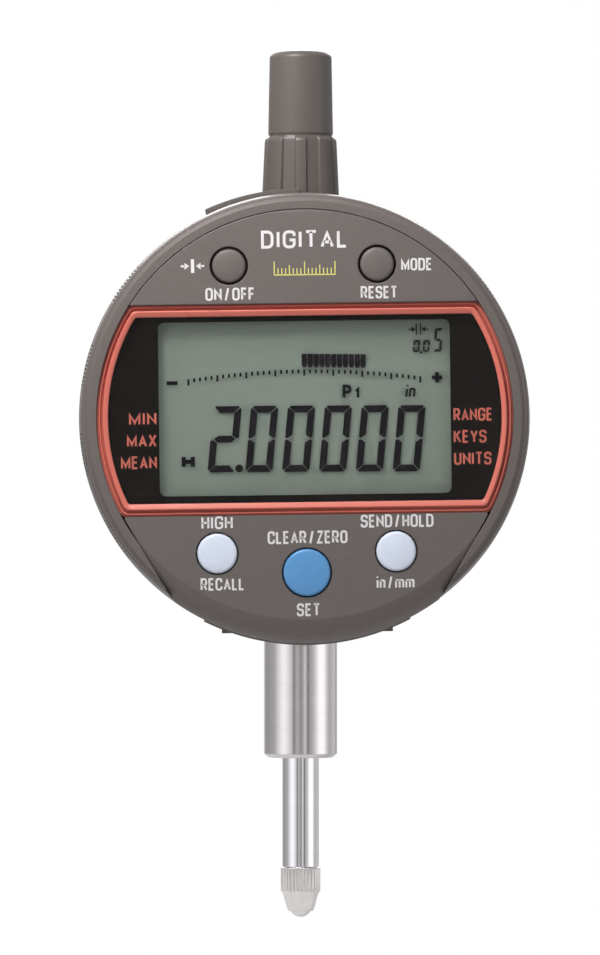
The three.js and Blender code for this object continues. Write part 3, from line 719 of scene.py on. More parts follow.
def digit_strokes(figure, x, z, wide, tall, thick):
    """The seven-bar strokes of a figure whose middle is at (x, z), leaning to the right."""
    right, top, gap, corner = wide / 2, tall / 2, thick * 0.08, thick * 0.35
    level = [
        (corner + gap - right, top), (right - corner - gap, top),
        (right - corner / 2 - gap, top - corner / 2), (right - thick - gap, top - thick),
        (thick + gap - right, top - thick), (corner / 2 + gap - right, top - corner / 2),
    ]
    upright = [
        (right - corner / 2, top - corner / 2 - gap), (right, top - corner - gap),
        (right, thick * 0.15 + gap), (right - thick * 0.3, gap),
        (right - thick, thick / 2 + gap), (right - thick, top - thick - gap),
    ]
    centre = [
        (thick * 0.45 + gap - right, 0), (thick + gap - right, thick / 2),
        (right - thick - gap, thick / 2), (right - thick * 0.45 - gap, 0),
        (right - thick - gap, -thick / 2), (thick + gap - right, -thick / 2),
    ]
    shapes = {
        "a": level, "b": upright, "c": flipped(upright, 1, -1), "d": flipped(level, 1, -1),
        "e": flipped(upright, -1, -1), "f": flipped(upright, -1, 1), "g": centre,
    }
    return [[(x + a + SLANT * b, z + b) for a, b in shapes[name]] for name in DIGIT_BARS[figure]]


def plain_box(x, z, wide, tall):
    return [
        (x - wide / 2, z - tall / 2), (x + wide / 2, z - tall / 2),
        (x + wide / 2, z + tall / 2), (x - wide / 2, z + tall / 2),
    ]


def arrow(tip_x, z, size, direction, thick):
    """A small arrow head with a tail, pointing along X."""
    barb_x = tip_x - direction * size
    head = [(tip_x, z), (barb_x, z + size * 0.7), (barb_x, z - size * 0.7)]
    tail = plain_box(tip_x - direction * size * 1.3, z, size * 0.9, thick)
    return [head, tail]


TICK_COUNT = 41
TICK_REACH = 14.85
TICK_TOP = 6.15
TICK_SAG = 1.08                 # how much lower the scale's ends are than its middle
BAR_COUNT = 11
BAR_PITCH = 0.754
FIGURE_TALL = 8.46
FIGURE_STROKE = 0.88
SIGN_Z = 11.1                   # the small centring sign above the reading


def scale_ticks():
    """The ticks of the bar scale, hung from a shallow arc, every fifth one longer."""
    strokes = []
    for i in range(TICK_COUNT):
        along = -1 + 2 * i / (TICK_COUNT - 1)
        tall = 0.8 if i % 5 == 0 else 0.5
        top = TICK_TOP - TICK_SAG * along * along
        strokes.append(plain_box(along * TICK_REACH, top - tall / 2, 0.26, tall))
    return strokes


def graph_bars():
    """The bars that the graph shows, each with a narrower foot."""
    bars = []
    for i in range(BAR_COUNT):
        x, z = 0.02 + BAR_PITCH * i, 7.28 - 0.016 * i
        bars.append([(x - 0.33, z + 0.86), (x - 0.33, z - 0.5), (x - 0.18, z - 0.86),
                     (x + 0.18, z - 0.86), (x + 0.33, z - 0.5), (x + 0.33, z + 0.86)])
    return bars


def display_strokes():
    """Everything that the crystal shows: the reading, the bar graph with its scale, and small signs."""
    strokes = digit_strokes("2", -10.31, -2.66, 3.62, FIGURE_TALL, FIGURE_STROKE)
    for number in range(5):
        x, z = -5.55 + number * 4.72, -2.68 - 0.04 * number
        strokes += digit_strokes("0", x, z, 3.48, FIGURE_TALL, FIGURE_STROKE)
    strokes.append(circle(0.5, -8.5, -6.42, 20))
    strokes += graph_bars() + scale_ticks()
    strokes.append(plain_box(-16.94, 4.6, 1.4, 0.48))
    strokes += [plain_box(17.0, 4.9, 1.35, 0.5), plain_box(17.0, 4.9, 0.5, 1.35)]
    for x in (14.41, 15.69):
        strokes += digit_strokes("0", x, 8.95, 0.85, 1.5, 0.26)
    strokes += digit_strokes("5", 17.2, 9.7, 1.05, 3.0, 0.32)
    strokes.append(circle(0.17, 15.0, 8.15, 10))
    strokes += arrow(14.32, SIGN_Z, 0.5, 1, 0.16) + arrow(15.06, SIGN_Z, 0.5, -1, 0.16)
    strokes += [plain_box(x, SIGN_Z, 0.15, 1.5) for x in (14.42, 14.96)]
    return strokes


def display_crystal():
    depth = (CRYSTAL_FRONT, CRYSTAL_FRONT + 0.05)
    signs = joined(*[prism(outline, *depth) for outline in display_strokes()])
    put("display_figures", signs, FACE, "crystal", "display_glass", replaces=False)
    for text, x, z, wide, tall, weight, lean in (
        ("H", -15.0, -5.5, 1.72, 1.8, 0.3, 0), ("P", 5.44, 3.2, 1.15, 1.85, 0.2, 0),
        ("1", 6.7, 3.0, 0.6, 1.4, 0.22, 0), ("in", 13.6, 3.2, 1.25, 1.7, 0.16, SLANT),
    ):
        name = f"display_{text}"
        lettering(name, text, x, z, wide, tall, "crystal", "display_glass", CRYSTAL_FRONT, weight, lean)


# ---------------------------------------------------------------- printed legends

# Plain block letters: each has a width and its strokes, as a share of the capital height. A stroke is
# a line of points, and a third number in a point rounds that corner. A stroke that ends where it starts
# is closed.
BOWL = [(0, 1), (0.46, 1, 0.25), (0.46, 0.46, 0.25), (0, 0.46)]
GLYPHS = {
    " ": (-0.16, []),
    "/": (0.24, [[(0, -0.05), (0.24, 1.05)]]),
    "1": (0.22, [[(0, 0.76), (0.22, 1), (0.22, 0)]]),
    "A": (0.54, [[(0, 0), (0.27, 1), (0.54, 0)], [(0.1, 0.3), (0.44, 0.3)]]),
    "C": (0.5, [[(0.5, 0.7), (0.5, 1, 0.25), (0, 1, 0.25), (0, 0, 0.25), (0.5, 0, 0.25), (0.5, 0.3)]]),
    "D": (0.5, [[(0, 0), (0.5, 0, 0.3), (0.5, 1, 0.3), (0, 1), (0, 0)]]),
    "E": (0.4, [[(0.4, 1), (0, 1), (0, 0), (0.4, 0)], [(0, 0.52), (0.36, 0.52)]]),
    "F": (0.38, [[(0.38, 1), (0, 1), (0, 0)], [(0, 0.5), (0.34, 0.5)]]),
    "G": (0.52, [[(0.52, 0.72), (0.52, 1, 0.25), (0, 1, 0.25), (0, 0, 0.25), (0.52, 0, 0.25), (0.52, 0.46),
                  (0.28, 0.46)]]),
    "H": (0.48, [[(0, 0), (0, 1)], [(0.48, 0), (0.48, 1)], [(0, 0.5), (0.48, 0.5)]]),
    "I": (0.0, [[(0, 0), (0, 1)]]),
    "K": (0.5, [[(0, 0), (0, 1)], [(0.48, 1), (0, 0.4)], [(0.17, 0.6), (0.5, 0)]]),
    "L": (0.38, [[(0, 1), (0, 0), (0.38, 0)]]),
    "M": (0.66, [[(0, 0), (0, 1), (0.33, 0.12), (0.66, 1), (0.66, 0)]]),
    "N": (0.5, [[(0, 0), (0, 1), (0.5, 0), (0.5, 1)]]),
    "O": (0.5, [[(0, 0.5), (0, 1, 0.26), (0.5, 1, 0.26), (0.5, 0, 0.26), (0, 0, 0.26), (0, 0.5)]]),
    "P": (0.46, [[(0, 0), *BOWL]]),
    "R": (0.48, [[(0, 0), *BOWL], [(0.22, 0.46), (0.48, 0)]]),
    "S": (0.48, [[(0.48, 0.74), (0.48, 1, 0.24), (0, 1, 0.24), (0, 0.52, 0.24), (0.48, 0.52, 0.24),
                  (0.48, 0, 0.24), (0, 0, 0.24), (0, 0.26)]]),
    "T": (0.5, [[(0, 1), (0.5, 1)], [(0.25, 1), (0.25, 0)]]),
    "U": (0.5, [[(0, 1), (0, 0, 0.26), (0.5, 0, 0.26), (0.5, 1)]]),
    "X": (0.5, [[(0, 0), (0.5, 1)], [(0, 1), (0.5, 0)]]),
    "Y": (0.52, [[(0, 1), (0.26, 0.44), (0.52, 1)], [(0.26, 0.44), (0.26, 0)]]),
    "Z": (0.48, [[(0, 1), (0.48, 1), (0, 0), (0.48, 0)]]),
    "i": (0.0, [[(0, 0), (0, 0.7)], [(0, 0.94), (0, 1.06)]]),
    "m": (0.72, [[(0, 0), (0, 0.7)], [(0, 0.6), (0.05, 0.7, 0.1), (0.36, 0.7, 0.16), (0.36, 0)],
                 [(0.36, 0.6), (0.41, 0.7, 0.1), (0.72, 0.7, 0.16), (0.72, 0)]]),
    "n": (0.38, [[(0, 0), (0, 0.7)], [(0, 0.6), (0.05, 0.7, 0.1), (0.38, 0.7, 0.16), (0.38, 0)]]),
}
GLYPH_GAP = 0.31


def ribbon(path, half, limits):
    """Pairs of points on the two sides of a stroke along a path, kept inside the letter's box."""
    closed = path[0] == path[-1]
    points = [Vector(point) for point in (path[:-1] if closed else path)]
    count = len(points)
    sides = []
    for i, point in enumerate(points):
        before = points[i - 1] if closed or i else point
        after = points[(i + 1) % count] if closed or i < count - 1 else point
        runs = [run.normalized() for run in (point - before, after - point) if run.length > 1e-9]
        along = sum(runs, Vector((0, 0))).normalized()
        across = Vector((-along.y, along.x))
        reach = half / max(0.25, across.dot(Vector((-runs[0].y, runs[0].x))))
        pair = [point + across * reach, point - across * reach]
        sides.append([
            (min(max(p.x, limits[0]), limits[1]), min(max(p.y, limits[2]), limits[3])) for p in pair
        ])
    return sides


def lettering(name, text, x, z, wide, tall, material, like, front, weight=0.16, lean=0.0, thick=0.03):
    """Flat block letters of a given width and capital height, centred at (x, z) and standing on a face."""
    half = weight * tall / 2
    natural = sum(GLYPHS[letter][0] for letter in text) + GLYPH_GAP * (len(text) - 1)
    across = (wide - 2 * half) / natural if natural else 1.0
    up = tall - 2 * half
    pen = x - wide / 2 + half if natural else x
    strokes = []
    for letter in text:
        glyph_width, paths = GLYPHS[letter]
        limits = (pen - half, pen + glyph_width * across + half, z - tall * 0.62, z + tall * 0.62)
        if letter.isupper():
            limits = (*limits[:2], z - tall / 2, z + tall / 2)
        for path in paths:
            scaled = [
                (pen + a * across, z - up / 2 + b * up, *(c * across for c in corner))
                for a, b, *corner in path
            ]
            rings = []
            for pair in ribbon(rounded(scaled, closed=False, steps=6), half, limits):
                left, right = [(a + lean * (b - z), b) for a, b in pair]
                rings.append([
                    (left[0], front, left[1]), (right[0], front, right[1]),
                    (right[0], front + thick, right[1]), (left[0], front + thick, left[1]),
                ])
            strokes.append(lofted(rings, loop=path[0][:2] == path[-1][:2]))
        pen += (glyph_width + GLYPH_GAP) * across
    put(name, joined(*strokes), FACE, material, like, replaces=False)


RULER_Z = 18.2
RULER_TICKS = 17
CENTRE_SIGN = (-14.1, 19.47)

# Ink and the piece that it is printed on, then name, words, middle in X and Z, width and capital height.
LEGENDS = (
    ("white_ink", "upper_panel", (
        ("power", "ON / OFF", -9.36, 15.83, 6.3, 1.66),
        ("reset", "RESET", 9.67, 15.84, 4.7, 1.6),
        ("mode", "MODE", 14.5, 19.35, 3.95, 1.6),
        ("title", "DIGITAL", 0.18, 22.73, 11.0, 2.3),
    )),
    ("white_ink", "lower_panel", (
        ("high", "HIGH", -11.4, -13.33, 4.0, 1.66),
        ("recall", "RECALL", -10.8, -21.19, 5.6, 1.6),
        ("zero", "CLEAR / ZERO", 0.13, -15.33, 10.2, 1.66),
        ("set", "SET", 0.14, -24.59, 3.0, 1.66),
        ("hold", "SEND / HOLD", 11.59, -13.37, 9.3, 1.66),
        ("units", "in / mm", 11.29, -21.22, 4.85, 1.6),
    )),
    ("red_ink", "window_lens", (
        ("left_1", "MIN", -20.75, 0.08, 3.5, 1.66),
        ("left_2", "MAX", -20.9, -2.73, 3.8, 1.66),
        ("left_3", "MEAN", -21.3, -5.53, 4.6, 1.66),
        ("right_1", "RANGE", 21.5, 0.1, 5.0, 1.66),
        ("right_2", "KEYS", 21.1, -2.71, 4.2, 1.66),
        ("right_3", "UNITS", 21.4, -5.52, 4.8, 1.66),
    )),
)


def ruler():
    """A small ruler, with every fourth tick longer and every eighth longest."""
    shapes = [plain_box(0.2, RULER_Z, 7.9, 0.14)]
    for i in range(RULER_TICKS):
        tall = 1.7 if i % 8 == 0 else (1.25 if i % 4 == 0 else 0.85)
        shapes.append(plain_box(-3.68 + i * 0.485, RULER_Z + tall / 2, 0.13, tall))
    return shapes


def centre_sign():
    """Two arrows that point at a line between them."""
    x, z = CENTRE_SIGN
    shapes = [plain_box(x, z, 0.42, 1.75)]
    for side in (-1, 1):
        shapes += arrow(x + side * 0.42, z, 0.62, -side, 0.26)
    return shapes


def legends():
    ink_front = PANEL_FRONT - PRINT_PROUD
    for ink, like, rows in LEGENDS:
        front = LENS_BACK + 0.005 if like == "window_lens" else ink_front
        for name, text, *place in rows:
            lettering(f"legend_{name}", text, *place, ink, like, front, thick=0.025)
    for name, shapes, ink in (
        ("legend_ruler", ruler(), "yellow_ink"), ("legend_centre", centre_sign(), "white_ink"),
    ):
        signs = joined(*[prism(shape, ink_front, PANEL_FRONT + 0.005) for shape in shapes])
        put(name, signs, FACE, ink, "upper_panel", replaces=False)


# ---------------------------------------------------------------- buttons and battery tray


def button(node):
    """A round key with a shallow crown, a lip that holds it in and a stem down to its switch."""
    low, high = box_mm(node)
    centre = TO_FACE @ middle(node)
    radius = width(node) / 2 - BUTTON_LIP
    crown = low.y
    lip = PANEL_BACK + 0.15
    tip = high.y - 0.1
    profile = rounded([
        (0, crown), (radius * 0.55, crown + 0.05, 0.6), (radius - 0.12, crown + 0.2, 0.3),
        (radius, crown + 0.75, 0.25), (radius, lip), (radius + BUTTON_LIP, lip, 0.08),
        (radius + BUTTON_LIP, lip + 0.5, 0.08), (0.8, lip + 0.5), (0.8, tip, 0.3), (0, tip),
    ], closed=False, steps=6)
    stand_in(node, turned(profile, 96, "Y", centre.x, centre.z), FACE, angle=40)


def battery_tray():
    """A door that follows the rim, with a bed that holds the cell."""
    half = width("battery_tray") / 2
    outer_r, inner_r = RIM_R + 0.1, CARRIER_R + 0.4
    edge = math.degrees(math.acos(half / outer_r))
    inner_edge = math.degrees(math.acos(half / inner_r))
    outside = arc(outer_r, -180 + edge, -edge, 64)
    inside = arc(inner_r, -inner_edge, -180 + inner_edge, 64)
    door = slab([outside + inside], TRAY_FRONT - 0.3, TRAY_BACK + 0.5, 0.18)
    cell = TO_FACE @ middle("coin_cell")
    cell_r = width("coin_cell") / 2
    top = (TO_FACE @ box_mm("battery_tray")[1]).z
    bed = slab(
        [rounded([(-11.2, -26.2, 0.4), (11.2, -26.2, 0.4), (11.2, top, 0.8), (-11.2, top, 0.8)]),
         circle(cell_r + 0.2, 0, cell.z, 96)],
        TRAY_FRONT - 0.1, TRAY_BACK - 0.05, 0.1,
    )
    ledge = [circle(cell_r + 0.6, 0, cell.z, 96), circle(6.0, 0, cell.z)]
    cell_floor = slab(ledge, TRAY_BACK + 0.06, TRAY_BACK + 0.32, 0.04)
    neck = block(-11, 11, TRAY_FRONT, TRAY_BACK, -27.6, -26.3)
    stand_in("battery_tray", joined(door, bed, cell_floor, neck), FACE)
    front, back = TRAY_FRONT, TRAY_BACK
    cell_shape = turned(rounded([
        (0, front), (8.4, front, 0.2), (8.7, front + 0.3, 0.1), (cell_r - 0.25, front + 0.36, 0.2),
        (cell_r, front + 0.7, 0.25), (cell_r, back, 0.4), (0, back),
    ], closed=False), 128, "Y", 0, cell.z)
    stand_in("coin_cell", cell_shape, FACE)


# ---------------------------------------------------------------- spindle cap and port cover

CAP_SHOULDER = 36.2
CAP_WAIST = 37.0
CAP_SIDES = 360
RIB_COUNT = 9
RIB_HALF = 9.6                  # half of a rib's width, in degrees
RIB_BLEND = 1.2                 # how far inside its edge a rib starts to fall away
RIB_FALL = 1.8


def rib_height(degrees, depth):
    """How far the skirt stands off the corners of its flats: convex ribs, with flats between them."""
    pitch = 360 / RIB_COUNT
    offset = (degrees + 90 + pitch / 2) % pitch - pitch / 2
    if abs(offset) < RIB_HALF - RIB_BLEND:
        return depth + 0.05 * (1 - (offset / RIB_HALF) ** 2)
    if abs(offset) < RIB_HALF - RIB_BLEND + RIB_FALL:
        t = (abs(offset) - (RIB_HALF - RIB_BLEND)) / RIB_FALL
        return depth * (1 - t * t * (3 - 2 * t))
    half_flat = pitch / 2 - RIB_HALF
    across = (pitch / 2 - abs(offset)) / half_flat
    return -0.055 * (1 - across * across)


def spindle_cap():
    """A tall cap with a fluted skirt, hollow so that the spindle can rise inside it."""
    low, high, shoulder = CAP_LOW, CAP_HIGH, CAP_SHOULDER
    skirt = [
        (low, 4.62, 0.3), (low + 0.12, 4.68, 0.3), (shoulder - 0.3, 4.36, 0.3), (shoulder, 4.34, 0.27),
        (shoulder + 0.22, 4.28, 0.17), (shoulder + 0.42, 4.18, 0.06), (shoulder + 0.5, 4.1, 0.0),
    ]
    crown = rounded([
        (4.1, shoulder + 0.5), (4.13, CAP_WAIST - 0.1, 0.08), (4.22, CAP_WAIST, 0.12),
        (4.03, high - 0.6, 0.25), (3.5, high, 0.3), (0, high),
    ], closed=False, steps=5)
    hollow = [
        (0, 46.2), (NECK_BORE_R, 46.2), (NECK_BORE_R, 36.2), (3.75, 35.6), (3.75, low + 0.2), (3.95, low),
    ]
    rings = []
    for z, radius, depth in skirt:
        ring = []
        for i in range(CAP_SIDES):
            degrees = i * 360 / CAP_SIDES
            stand = rib_height(degrees, depth) if depth else 0.0
            ring.append((*on_circle(radius + stand, degrees), z))
        rings.append(ring)
    for radius, z in crown[1:] + hollow:
        count = CAP_SIDES if radius else 1
        rings.append([(*on_circle(radius, i * 360 / CAP_SIDES), z) for i in range(count)])
    stand_in("spindle_cap", lofted(rings, loop=True), HEAD, angle=38)


def port_cover():
    """A soft arched cover with a thin lip that runs on in front of the cap."""
    low, high = box_mm("port_cover")
    outer, inner = 29.7, HOUSING_R + 0.28

    def strip(start, end, front, back, bevel):
        steps = 32
        outline = arc(outer, start, end, steps) + arc(inner, end, start, steps)
        corners = (0, steps, steps + 1, 2 * steps + 1)
        soft = [(x, z, 0.3 if i in corners else 0) for i, (x, z) in enumerate(outline)]
        return slab([rounded(soft)], front, back, bevel)

    arch = strip(101.5, 114.8, low.y + 0.5, high.y, 0.2)
    front_lip = strip(90.3, 114.8, low.y, low.y + 0.42, 0.12)
    stand_in("port_cover", joined(arch, front_lip), HEAD)


# ---------------------------------------------------------------- stem, spindle and contact


def stem():
    bore = 3.2
    profile = rounded([
        (bore, STEM_LOW), (STEM_R - 0.48, STEM_LOW, 0.08), (STEM_R, STEM_LOW + 0.46, 0.08),
        (STEM_R, STEM_HIGH - 0.2, 0.1), (STEM_R - 0.2, STEM_HIGH, 0.1), (bore, STEM_HIGH),
    ])
    stand_in("stem", turned(profile, 160, "Z"), HEAD, angle=40)


def spindle():
    profile = rounded([
        (0, SPINDLE_LOW), (SPINDLE_R - 0.08, SPINDLE_LOW, 0.02), (SPINDLE_R, SPINDLE_LOW + 0.1, 0.04),
        (SPINDLE_R, SPINDLE_HIGH - 0.5, 0.1), (SPINDLE_R - 0.45, SPINDLE_HIGH, 0.1), (0, SPINDLE_HIGH),
    ], closed=False)
    stand_in("spindle", turned(profile, 160, "Z"), HEAD, angle=40)


def contact_point():
    """The knurled sleeve: straight ridges with rounded tops, then a cone that holds the ball."""
    ridges = 28
    sides = ridges * 10
    crest = width("contact_point") / 2
    top = SPINDLE_LOW
    cone_top, cone_end, tip = top - 3.3, BALL_Z - 0.28, BALL_Z - 0.7
    stages = [
        (1.0, tip + 0.1, 0), (1.33, tip + 0.02, 0), (1.55, tip, 0), (1.66, tip + 0.06, 0),
        (1.78, cone_end, 0), (1.83, cone_end + 0.1, 0), (2.33, cone_top - 0.12, 0), (2.38, cone_top, 0.02),
        (2.4, cone_top + 0.12, 0.15), (2.42, cone_top + 0.3, 0.16), (2.42, top - 0.16, 0.16),
        (2.42, top - 0.06, 0.12), (2.38, top - 0.01, 0.06), (2.36, top, 0.0),
    ]
    rings = [[(0, 0, tip + 0.1)]]
    for radius, z, ridge in stages:
        ring = []
        for i in range(sides):
            degrees = 360 * i / sides
            wave = abs(math.cos(math.radians(degrees) * ridges / 2))
            ring.append((*on_circle(min(crest, radius + ridge * wave ** 0.7), degrees), z))
        rings.append(ring)
    rings.append([(0, 0, top)])
    stand_in("contact_point", lofted(rings), HEAD, angle=60)


def contact_ball():
    steps = 48
    profile = []
    for i in range(steps + 1):
        radius, z = on_circle(BALL_R, -90 + 180 * i / steps)
        profile.append((radius if 0 < i < steps else 0.0, z + BALL_Z))
    stand_in("contact_ball", turned(profile, 96, "Z"), HEAD, angle=60)


# ---------------------------------------------------------------- housing, back cover and screws

SCREW_ANGLES = (45, 135, 225, 315)
SCREW_CIRCLE_R = 24.5
CAVITY_R = 25.8
NECK_TOP = 33.5
COVER_THICK = 1.8
LUG_R = 5.6
LUG_HALF = 2.5
LUG_HOLE_R = 3.175


def rear_housing():
    """A cup with a front web and hub, a neck for the cap, and bosses for the stem and the port."""
    web_back = HOUSING_FRONT + 0.7
    inside_front, inside_back = HOUSING_FRONT + 0.1, HOUSING_BACK - 0.1
    cup = turned(rounded([
        (0, web_back), (CAVITY_R, web_back, 0.3), (CAVITY_R, HOUSING_BACK),
        (HOUSING_R - 0.15, HOUSING_BACK, 0.1), (HOUSING_R, HOUSING_BACK - 0.3, 0.2),
        (HOUSING_R, HOUSING_FRONT + 0.5, 0.4),
        (HOUSING_R - 0.5, HOUSING_FRONT, 0.4), (0, HOUSING_FRONT),
    ], closed=False), 256)
    hub_profile = [(0, -8.5), (3.9, -8.5), (4.1, -8.3), (4.1, web_back), (0, web_back)]
    hub = turned(hub_profile, 96, "Y", FACE_CENTRE.x, 0)
    neck_profile = rounded([(0, 24.4), (3.5, 24.4), (3.5, NECK_TOP, 0.3), (0, NECK_TOP)], closed=False)
    neck = turned(neck_profile, 96, "Z")
    bosses = [
        block(-7, 7, inside_front, inside_back, -27.2, -20.6),
        block(-5.5, 5.5, inside_front, inside_back, 24.4, 27.6),
        block(-12.6, -5.65, inside_front, 4.4, 21.4, 25.6),
    ]
    for degrees in SCREW_ANGLES:
        x, z = on_circle(SCREW_CIRCLE_R, degrees)
        bosses.append(drum(2.2, inside_front, HOUSING_BACK - 0.05, 32, "Y", x, z))
    solid = carved(cup, "UNION", [hub, neck, *bosses])
    bores = [
        drum(3.2, -9, web_back + 0.5, 64, "Y", FACE_CENTRE.x, 0),
        drum(STEM_R + 0.04, -30, -19, 128, "Z"),
        drum(NECK_BORE_R, 24, NECK_TOP + 1, 64, "Z"),
        block(-11.6, -6.0, -2.6, 2.6, 22.6, 30),
    ]
    stand_in("rear_housing", carved(solid, "DIFFERENCE", bores), HEAD, bevel=0.1)


def back_cover():
    """A round plate with a raised centre and an upright lug with a cross hole."""
    back = COVER_FRONT + COVER_THICK
    disc = turned(rounded([
        (0, COVER_FRONT), (COVER_R, COVER_FRONT, 0.15), (COVER_R, back - 0.7, 0.5),
        (COVER_R - 0.7, back, 0.5), (22.0, back, 0.1), (21.9, back - 0.15, 0.05),
        (21.5, back - 0.15, 0.05), (21.4, back, 0.1),
        (13.2, back, 0.3), (12.4, back + 0.9, 0.35), (0, back + 0.9),
    ], closed=False), 256)
    centre = box_mm("back_cover")[1].y - LUG_R
    outline = [
        (back, -LUG_R - 1.2), (back + 0.9, -LUG_R - 0.5),
        *[(centre + a, b) for a, b in arc(LUG_R, -90, 90, 48)],
        (back + 0.9, LUG_R + 0.5), (back, LUG_R + 1.2),
    ]
    lug = slab([outline, circle(LUG_HOLE_R, centre, 0, 96)], -LUG_HALF, LUG_HALF, 0.35)
    lug = moved(lug, Matrix.Rotation(math.pi / 2, 4, "Z"))
    cover = carved(disc, "UNION", [lug])
    holes = []
    for degrees in SCREW_ANGLES:
        x, z = on_circle(SCREW_CIRCLE_R, degrees)
        holes.append(turned([
            (0, COVER_FRONT - 1), (1.15, COVER_FRONT - 1), (1.15, back - 1.1), (2.05, back - 1.1),
            (2.05, back + 1), (0, back + 1),
        ], 48, "Y", x, z))
    stand_in("back_cover", carved(cover, "DIFFERENCE", holes), HEAD, bevel=0.1)


def screw(node):
    """A pan head with a cross recess, looking towards +Y."""
    low, high = box_mm(node)
    centre = Matrix.Translation((0, 0, -HEAD_Z)) @ middle(node)
    head_r = (high.x - low.x) / 2
    top = high.y
    shape = turned(rounded([
        (0, low.y + 0.1), (0.5, low.y + 0.1, 0.1), (0.85, low.y + 0.5, 0.1), (0.85, top - 0.75),
        (head_r, top - 0.75, 0.08), (head_r, top - 0.3, 0.2), (head_r * 0.7, top, 0.3), (0, top),
    ], closed=False), 48, "Y", centre.x, centre.z)
    slots = []
    for along, across in ((head_r * 0.6, 0.2), (0.2, head_r * 0.6)):
        left, right = centre.x - along, centre.x + along
        slots.append(block(left, right, top - 0.4, top + 1, centre.z - across, centre.z + across))
    stand_in(node, carved(shape, "DIFFERENCE", slots), HEAD)


# ---------------------------------------------------------------- the pieces that keep their CAD shape


def dress_frame_nodes():
    """Every CAD node gets its slot's material. Those that a finer piece replaces stay hidden."""
    for name, node in frame["nodes"].items():
        node.data.materials.clear()
        node.data.materials.append(MATERIALS[SLOT_OF[name]])


# ---------------------------------------------------------------- studio


# How bright the studio is round the horizon, by direction in degrees: 0 is in front of the object, where
# the camera stands, and 90 is to the right.
RING = (
    (-180, 0.9), (-140, 0.34), (-114, 0.42), (-92, 0.48), (-78, 0.78), (-62, 1.2), (-50, 1.25), (-36, 0.9),
    (-27, 0.7), (-22, 0.12), (-17, 0.45), (-9, 0.62), (-2, 0.32), (7, 0.42), (14, 0.95), (18, 0.5),
    (23, 0.12), (28, 0.45), (37, 0.55), (47, 0.8), (60, 1.4), (78, 1.4), (90, 0.8), (102, 0.5),
    (116, 0.6), (132, 0.72),
    (146, 0.4), (180, 0.9),
)
RING_STRENGTH = 1.5
OVERHEAD = 0.2
BEHIND = 0.75                   # above the horizon and behind the object
UNDERNEATH = 0.04
LEVEL_STOPS = ((0.0, 0.0), (0.37, 0.0), (0.43, 1.0), (0.57, 1.0), (0.63, 0.0), (1.0, 0.0))
BEHIND_STOPS = ((0.0, 0.0), (0.5, 0.0), (0.68, 1.0), (1.0, 1.0))


def world():
    """A pale studio: strip lights and dark gaps round the horizon for the metal, and a dimmer dome."""
    made = bpy.data.worlds.new("studio")
    bpy.context.scene.world = made
    made.use_nodes = True
    nodes, links = made.node_tree.nodes, made.node_tree.links

    def fill(sockets, sources):
        for socket, source in zip(sockets, sources):
            if isinstance(source, (int, float)):
                socket.default_value = source
            else:
                links.new(source, socket)

    def maths(operation, *sources):
        node = nodes.new("ShaderNodeMath")
        node.operation = operation
        fill(node.inputs, sources)
        return node.outputs[0]

    def mixed(*sources):
        """A mix of two brightnesses, from a factor and the two."""
        mix = nodes.new("ShaderNodeMix")
        mix.data_type = "FLOAT"
        fill([mix.inputs[name] for name in ("Factor", "A", "B")], sources)
        return mix.outputs["Result"]

    def graded(source, stops):
        made = ramp(nodes, stops)
        links.new(source, made.inputs["Fac"])
        return made.outputs["Color"]

    def from_half(source):
        """Moves a -1 to 1 source onto 0 to 1."""
        return maths("ADD", maths("MULTIPLY", source, 0.5), 0.5)

    split = nodes.new("ShaderNodeSeparateXYZ")
    links.new(nodes.new("ShaderNodeTexCoord").outputs["Generated"], split.inputs["Vector"])
    azimuth = maths("ARCTAN2", split.outputs["X"], maths("MULTIPLY", split.outputs["Y"], -1.0))
    turn = maths("ADD", maths("DIVIDE", azimuth, 2 * math.pi), 0.5)
    height = from_half(split.outputs["Z"])
    ring = graded(turn, [(degrees / 360 + 0.5, grey / RING_STRENGTH) for degrees, grey in RING])
    upper = mixed(graded(from_half(split.outputs["Y"]), BEHIND_STOPS), OVERHEAD, BEHIND)
    dome = mixed(maths("GREATER_THAN", height, 0.5), UNDERNEATH, upper)
    horizon = maths("MULTIPLY", ring, RING_STRENGTH)
    studio_light = mixed(graded(height, LEVEL_STOPS), dome, horizon)
    seen = nodes.new("ShaderNodeLightPath").outputs["Is Camera Ray"]
    links.new(mixed(seen, studio_light, 1.0), nodes["Background"].inputs["Color"])


def ramp(nodes, stops):
    """A grey ramp whose stops are (place, brightness)."""
    made = nodes.new("ShaderNodeValToRGB")
    elements = made.color_ramp.elements
    while len(elements) < len(stops):
        elements.new(0.5)
    for element, (place, grey) in zip(elements, stops):
        element.position = place
        element.color = (grey, grey, grey, 1)
    return made


def area_light(name, place_mm, towards_mm, size_mm, power):
    light = bpy.data.lights.new(name, "AREA")
    light.shape = "RECTANGLE"
    light.size, light.size_y = (side * MM for side in size_mm)
    light.energy = power
    made = linked(name, light)
    made.location = Vector(place_mm) * MM
    direction = Vector(towards_mm) - Vector(place_mm)
    made.rotation_euler = direction.to_track_quat("-Z", "Y").to_euler()
    made.visible_camera = False


CAMERA_DISTANCE = 900.0
CAMERA_SIDE = -5.4              # how far left of the stem's axis it stands
CAMERA_AIM = -0.08              # where it looks, left of that axis
CAMERA_DROP = 7.7               # how far below the head's centre it is
FIELD_HEIGHT = 124.35           # what the picture's height spans at the stem, in millimetres
SENSOR = 36.0


